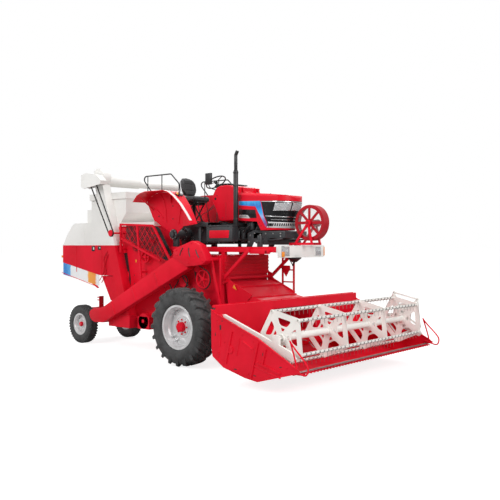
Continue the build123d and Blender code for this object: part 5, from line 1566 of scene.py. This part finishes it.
fenderShape = {
    "outer": 0.9, "inner": 0.56, "bend": -0.6, "slant": 170 / 570, "sheet": 0.006, "rounding": 0.28,
    "panel": ((-1.604, 2.888), (-1.56, 2.83), (-1.445, 2.626), (-1.376, 2.524), (-1.338, 2.524), (-1.2, 2.44),
              (-0.95, 2.33), (-0.92, 2.275), (-0.74, 2.275), (-0.7, 2.33), (-0.56, 2.42), (-0.038, 2.446),
              (-0.164, 2.617), (-0.333, 2.807), (-0.5, 2.948), (-0.64, 3.031), (-0.76, 3.063), (-1.26, 3.063),
              (-1.38, 3.041), (-1.494, 2.998))}


def fenderInner(x):
    return fenderShape["inner"] + max(0.0, x - fenderShape["bend"]) * fenderShape["slant"]


def smoothedEdge():
    edge = [Vector((x, 0, z)) for x, z in cabLook["edge"]]
    smooth = edge[:1]
    for before, point, after in zip(edge, edge[1:], edge[2:]):
        first, last = [point.lerp(other, fenderShape["rounding"]) for other in (before, after)]
        smooth += [first, (first + last + 2 * point) / 4, last]
    return smooth + edge[-1:]


def makeFenderForm():
    # bent arch sheets over inner panels that slant outwards in front
    look = fenderShape
    bm = bmesh.new()
    for side in sides:
        arch, panel = newParts(2)
        rows = [[arch.verts.new((p.x, side * y, p.z)) for y in (fenderInner(p.x), look["outer"])]
                for p in smoothedEdge()]
        for first, second in zip(rows, rows[1:]):
            arch.faces.new((first[0], second[0], second[1], first[1]))
        bmesh.ops.recalc_face_normals(arch, faces=arch.faces)
        if arch.faces[:][0].normal.z < 0:
            bmesh.ops.reverse_faces(arch, faces=arch.faces)
        thicken(arch, look["sheet"])
        joinInto(bm, arch)
        sideFace(panel, look["panel"], 0)
        splitBy(panel, plane_co=(look["bend"], 0, 0), plane_no=(1, 0, 0))
        bmesh.ops.triangulate(panel, faces=panel.faces)
        for vert in panel.verts:
            vert.co.y = side * fenderInner(vert.co.x)
        thicken(panel, look["sheet"])
        joinInto(bm, panel)
    finishPiece("fenderForm", bm, "redPaint", node="fenders")


def bothSides(rows, first):
    # each row and its mirror image on the other side; its two y values start at the index given
    return tuple(row for one in rows for row in (one, (*one[:first], -one[first + 1], -one[first], *one[first + 2:])))


tractorShapes = (
    {"name": "tractorCase", "node": "tractor_housing", "dress": "charcoalPaint",
     "boxes": ((-1.05, 0.35, -0.17, 0.17, 2.11, 2.47), (-1.0, -0.56, -0.2, 0.2, 2.08, 2.48),
               (-0.34, -0.316, -0.205, 0.205, 2.095, 2.485), (-0.04, -0.016, -0.205, 0.205, 2.095, 2.485),
               (0.326, 0.35, -0.205, 0.205, 2.095, 2.485),
               *bothSides(((-0.89, -0.77, 0.47, 0.53, 2.045, 2.225),), 2), (1.175, 1.265, -0.46, 0.46, 2.08, 2.19),
               *bothSides(((-0.28, 0.057, 0.17, 0.56, 2.405, 2.417), (-0.28, 0.057, 0.548, 0.56, 2.417, 2.48),
                           (-0.2, -0.14, 0.5, 0.54, 2.045, 2.405), (0.905, 1.59, -0.3, -0.285, 2.19, 2.31)), 2),
               (1.1, 1.59, -0.29, 0.29, 2.19, 2.31)),
     "discs": ((-0.2, 2.29, 0.085, -0.214, 0.214), (0.16, 2.34, 0.06, -0.209, 0.209),
               (-0.83, 2.275, 0.08, -0.56, 0.56), (-0.83, 2.275, 0.125, -0.33, 0.33),
               *bothSides(((-0.83, 2.275, 0.094, 0.56, 0.584), (-0.83, 2.275, 0.055, 0.584, 0.63)), 3)),
     "plates": bothSides(((((0.77, 2.276), (0.903, 2.33), (1.1, 2.31), (1.1, 2.188), (0.905, 2.12), (0.86, 2.045),
                            (0.74, 2.045), (0.77, 2.15)), -0.3, -0.285),), 1),
     "rods": (((1.22, -0.59, 2.13), (1.22, 0.59, 2.13), 0.03),
              *(((1.22, y, 2.045), (1.22, y, 2.235), 0.048) for y in (-0.5, 0.5))),
     "bars": tuple(((1.24, y, 2.15), (1.56, y, 2.18), 0.04, 0.024) for y in (-0.33, 0.33))},
    {"name": "engineForm", "node": "engine_block", "dress": "charcoalPaint",
     "boxes": ((0.35, 0.9, -0.15, 0.15, 2.15, 2.33), (0.35, 1.08, -0.165, 0.165, 2.312, 2.44),
               (0.62, 1.06, -0.14, 0.14, 2.44, 2.64), (0.65, 1.03, -0.08, 0.08, 2.64, 2.71),
               (0.7, 0.8, -0.24, -0.148, 2.35, 2.45), (0.64, 1.01, -0.196, -0.14, 2.56, 2.612),
               (1.125, 1.18, -0.27, 0.27, 2.3, 2.76), (1.08, 1.13, -0.04, 0.04, 2.32, 2.46),
               (0.47, 0.53, -0.27, -0.148, 2.304, 2.334), (0.58, 0.64, -0.27, -0.148, 2.284, 2.314),
               (0.8, 0.86, -0.27, -0.148, 2.444, 2.474),
               *((0.6, 1.072, -0.158, 0.158, 2.452 + step * 0.02, 2.459 + step * 0.02) for step in range(9))),
     "discs": (*((0.69 + step * 0.11, 2.38, 0.04, -0.182, 0.182) for step in range(4)),
               (1.01, 2.47, 0.062, -0.25, -0.12)),
     "rods": (((0.5, -0.235, 2.15), (0.5, -0.235, 2.32), 0.042), ((0.61, -0.235, 2.13), (0.61, -0.235, 2.3), 0.042),
              ((0.83, -0.235, 2.34), (0.83, -0.235, 2.46), 0.042), ((1.075, 0, 2.5), (1.115, 0, 2.5), 0.06),
              ((1.085, 0, 2.5), (1.1, 0, 2.5), 0.21)),
     "hoses": (*((((0.712 + step * 0.025, -0.215, 2.44), (0.712 + step * 0.025, -0.215, 2.5),
                   (0.752 + step * 0.025, -0.15, 2.54 + step * 0.012),
                   (0.772 + step * 0.025, -0.135, 2.54 + step * 0.012)), 0.004) for step in range(4)),
               (((0.42, -0.12, 2.44), (0.42, -0.24, 2.44), (0.42, -0.24, 2.3), (0.52, -0.225, 2.24)), 0.016),
               (((0.96, -0.12, 2.42), (0.96, -0.262, 2.42), (0.9, -0.262, 2.25), (0.8, -0.262, 2.18),
                 (0.7, -0.12, 2.18)), 0.014))},
    {"name": "batteryForm", "node": "battery_box", "dress": "charcoalPaint",
     "boxes": ((0.062, 0.678, -0.6, -0.45, 2.135, 2.395), (0.062, 0.686, -0.606, -0.468, 2.395, 2.42),
               (0.1, 0.3, -0.45, -0.17, 2.16, 2.2))},
    {"name": "exhaustForm", "node": "exhaust", "dress": "blackPaint",
     "rods": (((0.6, -0.42, 2.4), (0.6, -0.42, 3.35), 0.042), ((0.6, -0.42, 3.35), (0.6, -0.42, 3.64), 0.03),
              ((0.6, -0.42, 3.63), (0.64, -0.42, 3.7), 0.03), ((0.6, -0.165, 2.43), (0.6, -0.42, 2.43), 0.036))},
    {"name": "lightBarForm", "node": "light_bar", "dress": "whitePaint",
     "boxes": ((1.72, 1.764, -0.65, 0.5, 1.872, 2.069),
               *((1.76, 1.8, y0, y1, 1.872, 2.069) for y0, y1 in ((-0.65, -0.595), (-0.445, 0.27), (0.42, 0.5))),
               *((1.758, 1.799, y0, y1, z, z + 0.025) for y0, y1 in ((-0.6, -0.44), (0.265, 0.425))
                 for z in (1.872, 2.044)),
               (1.6, 1.725, -0.54, -0.46, 1.955, 2.045), (1.6, 1.725, 0.46, 0.498, 1.955, 2.045))},
    {"name": "lampForm", "node": "lamps", "dress": "clearLens",
     "boxes": ((1.762, 1.806, -0.594, -0.446, 1.898, 2.043), (1.762, 1.806, 0.271, 0.419, 1.898, 2.043),
               (1.799, 1.82, -0.645, -0.6, 1.887, 2.054), (1.73, 1.78, 0.499, 0.54, 1.892, 2.049))},
    {"name": "ladderForm", "node": "access_ladder", "dress": "redPaint",
     "boxes": (*((x - 0.015, x + 0.015, 0.735, 0.765, 1.12, 1.939) for x in (0.7, 0.96)),
               *((0.7, 0.96, 0.738, 0.762, z - 0.012, z + 0.012) for z in (1.18, 1.4, 1.62, 1.84)),
               (0.56, 0.975, 0.65, 0.87, 1.939, 1.955), (0.7, 0.76, 0.47, 0.65, 1.939, 1.955),
               (0.85, 0.91, 0.47, 0.65, 1.939, 1.955)),
     "plates": ((((0.64, 1.7), (0.88, 1.7), (0.89, 1.645), (0.79, 1.49)), 0.735, 0.741),)},
    {"name": "frameForm", "node": "chassis_frame", "dress": "redPaint",
     "boxes": ((0.29, 0.35, -0.54, 0.54, 0.71, 0.83), (-2.7, -2.64, -0.54, 0.54, 0.71, 0.83),
               *bothSides(((-2.7, 0.35, 0.54, 0.6, 0.71, 0.83), (-3.85, -2.64, 0.2, 0.27, 0.6, 0.72)), 2),
               (-3.85, -3.79, -0.2, 0.2, 0.6, 0.72), (-3.85, -3.835, -0.06, 0.06, 0.6, 0.95),
               *((0.26, 0.335, y - 0.007, y + 0.007, 0.58, 0.71) for y in (-0.375, -0.325, 0.325, 0.375)),
               *(box for z in (0.85, 0.91) for box in (
                   (-3.94, -3.916, -0.045, 0.045, z, z + 0.02), (-3.884, -3.85, -0.045, 0.045, z, z + 0.02),
                   *bothSides(((-3.92, -3.88, 0.016, 0.045, z, z + 0.02),), 2)))),
     "discs": bothSides(((0.3, 0.62, 0.015, 0.318, 0.382),), 3)})


def makeTractorForms():
    for look in tractorShapes:
        bm = bmesh.new()
        addForm(bm, look)
        finishPiece(look["name"], bm, look["dress"], node=look["node"])


standShape = {
    "boxes": ((-1.062, -0.7, -0.18, 0.18, 2.88, 2.905), (-1.03, -0.73, -0.15, 0.15, 2.483, 2.5),
              *bothSides(((-1.03, -0.73, -0.15, -0.13, 2.84, 2.88),), 2)),
    "bars": tuple(bar for y in (-0.14, 0.14) for bar in (
        ((-1.02, y, 2.495), (-0.75, y, 2.86), 0.01, 0.03),
        ((-0.75, y * 0.92, 2.495), (-1.02, y * 0.92, 2.86), 0.01, 0.03),
        ((-1.045, y * 0.65, 2.9), (-1.118, y * 0.65, 3.29), 0.026, 0.008))),
    "rods": (((-0.885, 0, 2.5), (-0.885, 0, 2.88), 0.03),
             *(((x, -0.15, z), (x, 0.15, z), 0.01) for z in (2.52, 2.86) for x in (-1.02, -0.75))),
    "spring": (0.046, 0.006), "foot": (-0.885, 0, 2.54), "coils": 13, "pitch": 0.024}


def makeSeatStand():
    # scissor stand with its spring strut
    look = standShape
    radius, wire = look["spring"]
    bm = bmesh.new()
    addForm(bm, look, 0.003)
    section = [(wire * sin(radians(turn)), radius + wire * cos(radians(turn))) for turn in range(0, 360, 60)]
    x, y, foot = look["foot"]
    for step in range(look["coils"]):
        addTurned(bm, section, (x, y, foot + step * look["pitch"]), 24, tilt=Matrix.Rotation(radians(90), 4, "X"))
    finishPiece("seatStand", bm, "blackPaint", node="seat_frame")


ductShape = {
    "inner": 0.8, "outer": 0.95, "lid": 0.965, "deep": 0.285,
    "outline": ((-2.491, 0.851), (-2.75, 0.805), (-2.88, 0.78), (-2.935, 0.735), (-2.945, 0.675), (-2.91, 0.61),
                (-2.85, 0.56), (-2.77, 0.535), (-2.492, 0.545), (-2.113, 0.717), (-0.06, 1.66), (-0.2, 1.98)),
    "head": ((-0.42, 1.86), (-0.4, 1.99), (-0.29, 2.04), (0.07, 2.15), (0.25, 2.08), (0.37, 1.93), (0.42, 1.81),
             (0.32, 1.74), (-0.06, 1.7)),
    "slotShade": ((-0.2, 1.96, 60), (0.0, 1.95, 100), (0.2, 1.93, 120)), "joints": (-2.1, -1.45, -0.8),
    "bend": ((-0.078, 0.012), (-0.03, 0.0), (0.03, 0.0), (0.078, 0.012)), "slope": (2.053, 0, 0.943),
    "bolts": ((-0.3, 1.9), (-0.33, 1.985), (0.06, 2.105), (0.3, 1.96), (0.33, 1.8), (-0.02, 1.76))}


def makeDuct():
    look = ductShape
    inner, outer, lid = look["inner"], look["outer"], look["lid"]
    bm, dark = newParts(2)
    addPlate(bm, look["outline"], -outer, -inner, 0.006)
    addPlate(bm, look["head"], -lid, -inner, 0.012)
    addRod(bm, (0.1, -inner, 1.84), (0.1, -bodyLook["side"], 1.84), 0.045)
    slope = Vector(look["slope"]).normalized()
    up = Vector((-slope.z, 0, slope.x)) * look["deep"]
    for x in look["joints"]:
        foot = Vector((x, -outer - 0.003, 0.7 + (x + 2.15) * 0.4593))
        addBar(bm, foot, foot + up, 0.012, 0.04, 0.003)
        for share in (0.05, 0.5, 0.95):
            addBolt(bm, foot + up * share - Vector((0, 0.006, 0)), (0, -1, 0), 0.008, 0.006)
    # black strips along the head's slots: painted shade inside each slot
    for x, z, lean in look["slotShade"]:
        places = [(*polarPoint(x, z, reach, lean), bend) for reach, bend in look["bend"]]
        addHose(dark, [(px + bend, -outer - 0.0135, pz) for px, pz, bend in places], 0.011)
    addSideBolts(bm, look["bolts"], lid, 0.01, 0.007, (-1,))
    finishPiece("ductForm", bm, "redPaint", node="returns_elevator")
    finishPiece("ductSlotShade", dark, "blackPaint")


guardShape = {
    "y": -0.74, "back": -0.6035, "chainY": -0.6535, "pitch": 0.055, "wire": 0.0022, "reach": 0.8,
    "window": ((-2.19, 2.2), (-2.19, 2.47), (-1.24, 2.43), (-1.17, 2.37), (-0.83, 1.9), (-1.0, 1.79)),
    "wheels": ((-1.02, 1.98, 0.07), (-1.36, 2.16, 0.052), (-1.86, 2.02, 0.06), (-0.62, 1.6, 0.05)),
    "chains": (((-1.02, 2.05), (-1.36, 2.212), (-1.86, 2.08)), ((-1.02, 1.91), (-1.36, 2.108), (-1.86, 1.96)),
               ((-0.975, 1.93), (-0.58, 1.57)), ((-1.06, 1.92), (-0.66, 1.62)))}


def clippedLine(start, end, outline):
    # the part of a line that lies inside an outline, or nothing
    (x, z), hits = start, []
    dx, dz = end[0] - x, end[1] - z
    for (x0, z0), (x1, z1) in edgesOf(outline):
        ex, ez = x1 - x0, z1 - z0
        across = dx * ez - dz * ex
        if abs(across) > 1e-9 and 0 <= ((x0 - x) * dz - (z0 - z) * dx) / across <= 1:
            hits.append(((x0 - x) * ez - (z0 - z) * ex) / across)
    return [(x + dx * share, z + dz * share) for share in (min(hits), max(hits))] if len(hits) > 1 else None


def makeGuardDetail():
    # fine diamond mesh on the guard, the chains and sprockets behind it, and a black sheet behind them as painted
    # shade
    look = guardShape
    y, back, chainY, reach = look["y"], look["back"], look["chainY"], look["reach"]
    mesh, dark, red = newParts(3)
    for step in range(-34, 40):
        x = -1.6 + step * look["pitch"]
        for lean in (reach, -reach):
            line = clippedLine((x, 1.7), (x + lean, 1.7 + reach), look["window"])
            if line:
                (x0, z0), (x1, z1) = line
                addRod(mesh, (x0, y, z0), (x1, y, z1), look["wire"], segments=4)
    # black sheet behind the mesh: painted shade in the space behind the guard
    addPlate(dark, look["window"], back - 0.002, back + 0.003, 0.0)
    for x, z, radius in look["wheels"]:
        rim = radius * 0.62
        addTurned(red, ((-0.008, rim), (-0.008, radius), (0.008, radius), (0.008, rim)), (x, chainY, z), 30)
        addRod(red, (x, chainY - 0.02, z), (x, back, z), 0.016, segments=16)
        for spoke in range(4):
            px, pz = polarPoint(x, z, radius * 0.7, spoke * 90 + 20)
            addBar(red, (x, chainY, z), (px, chainY, pz), 0.008, 0.016, 0.001)
    for route in look["chains"]:
        for (x0, z0), (x1, z1) in zip(route, route[1:]):
            addBar(dark, (x0, chainY, z0), (x1, chainY, z1), 0.012, 0.014, 0.002)
    finishPiece("guardMesh", mesh, "redPaint")
    finishPiece("guardShadeSheetAndChains", dark, "blackPaint")
    finishPiece("guardSprockets", red, "darkRedPaint")


placeShape = {
    "mirror": ((-0.107, -0.47, 3.155), (0.045, -0.432, 3.362)),
    "arm": ((-0.03, -0.45, 3.17), (-0.03, -0.45, 3.11), (0.01, -0.36, 3.07), (0.04, -0.3, 3.06)),
    "levers": ((-0.3, -0.15, 2.96), (-0.42, 0.15, 2.9), (-0.5, -0.15, 2.86)), "knob": 0.018,
    "wires": (((-0.28, -0.2, 2.5), (-0.22, -0.33, 2.66), (-0.05, -0.3, 2.8), (0.02, -0.2, 2.86)),
              ((-0.5, -0.18, 2.48), (-0.42, -0.3, 2.62), (-0.25, -0.22, 2.7), (-0.12, -0.12, 2.82)),
              ((0.34, -0.22, 2.2), (0.2, -0.34, 2.3), (-0.05, -0.3, 2.4), (-0.28, -0.22, 2.46))),
    "plate": (-0.55, 0.02, -0.45, 0.45, 2.475, 2.483), "tube": (1.07, 1.45, -0.6, -0.54, 1.928, 2.006),
    "posts": (((0.331, -0.75, 1.83), (0.537, -0.75, 1.05), 0.03, 0.05),
              ((0.501, -0.7, 1.85), (0.501, -0.7, 1.1), 0.03, 0.024),
              ((0.537, -0.75, 1.074), (0.46, -0.62, 1.02), 0.03, 0.04)),
    "troughs": ((-2.3, 0.13, 0.79), (-1.55, 0.15, 0.7)), "troughY": -0.545,
    "tail": ((-3.52, 1.35), (-3.23, 1.29), (-3.11, 1.19), (-3.16, 1.178), (-3.29, 1.24), (-3.52, 1.328)),
    "hoses": (((-2.746, -0.615, 1.99), (-2.84, -0.622, 1.88), (-2.935, -0.62, 1.78), (-2.85, -0.622, 1.56),
               (-3.06, -0.615, 1.34)),
              ((-2.72, -0.612, 1.96), (-2.9, -0.618, 1.7), (-2.8, -0.618, 1.5), (-2.99, -0.612, 1.3))),
    "gapShade": ((-2.363, 1.895), (-2.164, 1.926), (-2.05, 1.406), (-2.062, 1.276), (-2.212, 1.27)),
    "chains": ((-0.483, 1.569, -0.272, 1.339), (-0.83, 1.451, -0.72, 1.281)), "chainY": -0.72,
    "indicator": ((1.802, -0.6475, 1.884), (1.824, -0.59, 1.97))}


def makePlaceDetail():
    # mirror, levers, wires and foot plate of the driver's place
    look = placeShape
    dark = bmesh.new()
    addBox(dark, *look["mirror"], 0.012)
    addHose(dark, look["arm"], 0.008)
    for x, y, top in look["levers"]:
        knob = (x - 0.05, y * 1.5, top)
        addRod(dark, (x, y, 2.47), knob, 0.007, segments=10)
        ball = bmesh.new()
        bmesh.ops.create_uvsphere(ball, u_segments=16, v_segments=10, radius=look["knob"])
        joinInto(dark, ball, Matrix.Translation(knob))
    for route in look["wires"]:
        addHose(dark, route, 0.006)
    addBoxes(dark, (look["plate"],), 0.002)
    finishPiece("placeFittings", dark, "blackPaint")


def makeRailDetail():
    # tube and posts on the right rail, troughs and hoses of the body
    look = placeShape
    red, dark, amber = newParts(3)
    addBoxes(red, (look["tube"],))
    x0, x1, y0, y1, z0, z1 = look["tube"]
    middle = (z0 + z1) / 2
    addRod(red, (x1, y0, middle), (x1, y1, middle), (z1 - z0) / 2, segments=28, soft=0.003)
    for start, end, width, deep in look["posts"]:
        addBar(red, start, end, width, deep, 0.003)
    x, y, z = look["posts"][0][0]
    addRod(red, (x, y - 0.03, z), (x, y + 0.15, z), 0.034, segments=24, soft=0.003)
    back = look["troughY"]
    for x, radius, outer in look["troughs"]:
        low = 0.47 + radius
        addBox(red, (x - radius, -outer + 0.003, low), (x + radius, back, 0.708), 0.003)
        addRod(red, (x, -outer, low), (x, back, low), radius, segments=36, soft=0.004)
        addRod(red, (x, -outer - 0.012, low), (x, -outer, low), 0.035, segments=20, soft=0.002)
    for side in sides:
        addPlate(red, look["tail"], side * 0.588, side * 0.594, 0.001)
    for route in look["hoses"]:
        addHose(red, route, 0.008)
    finishPiece("railTube", red, "redPaint")
    # black sheet over the gap in the body's side: painted shade where the gap opens into the machine
    addPlate(dark, look["gapShade"], -0.6035, -0.5995, 0.0)
    y = look["chainY"]
    for x0, z0, x1, z1 in look["chains"]:
        addBar(dark, (x0, y, z0), (x1, y, z1), 0.014, 0.022, 0.002)
    addBox(amber, *look["indicator"], 0.005)
    finishPiece("bodyGapShadeAndChains", dark, "blackPaint")
    finishPiece("barIndicator", amber, "amberLens")


makeBonnetForm()
makeCowlForm()
makeFenderForm()
makeTractorForms()
makeSeatStand()
makeDuct()
makeGuardDetail()
makePlaceDetail()
makeRailDetail()
print("rounder forms")
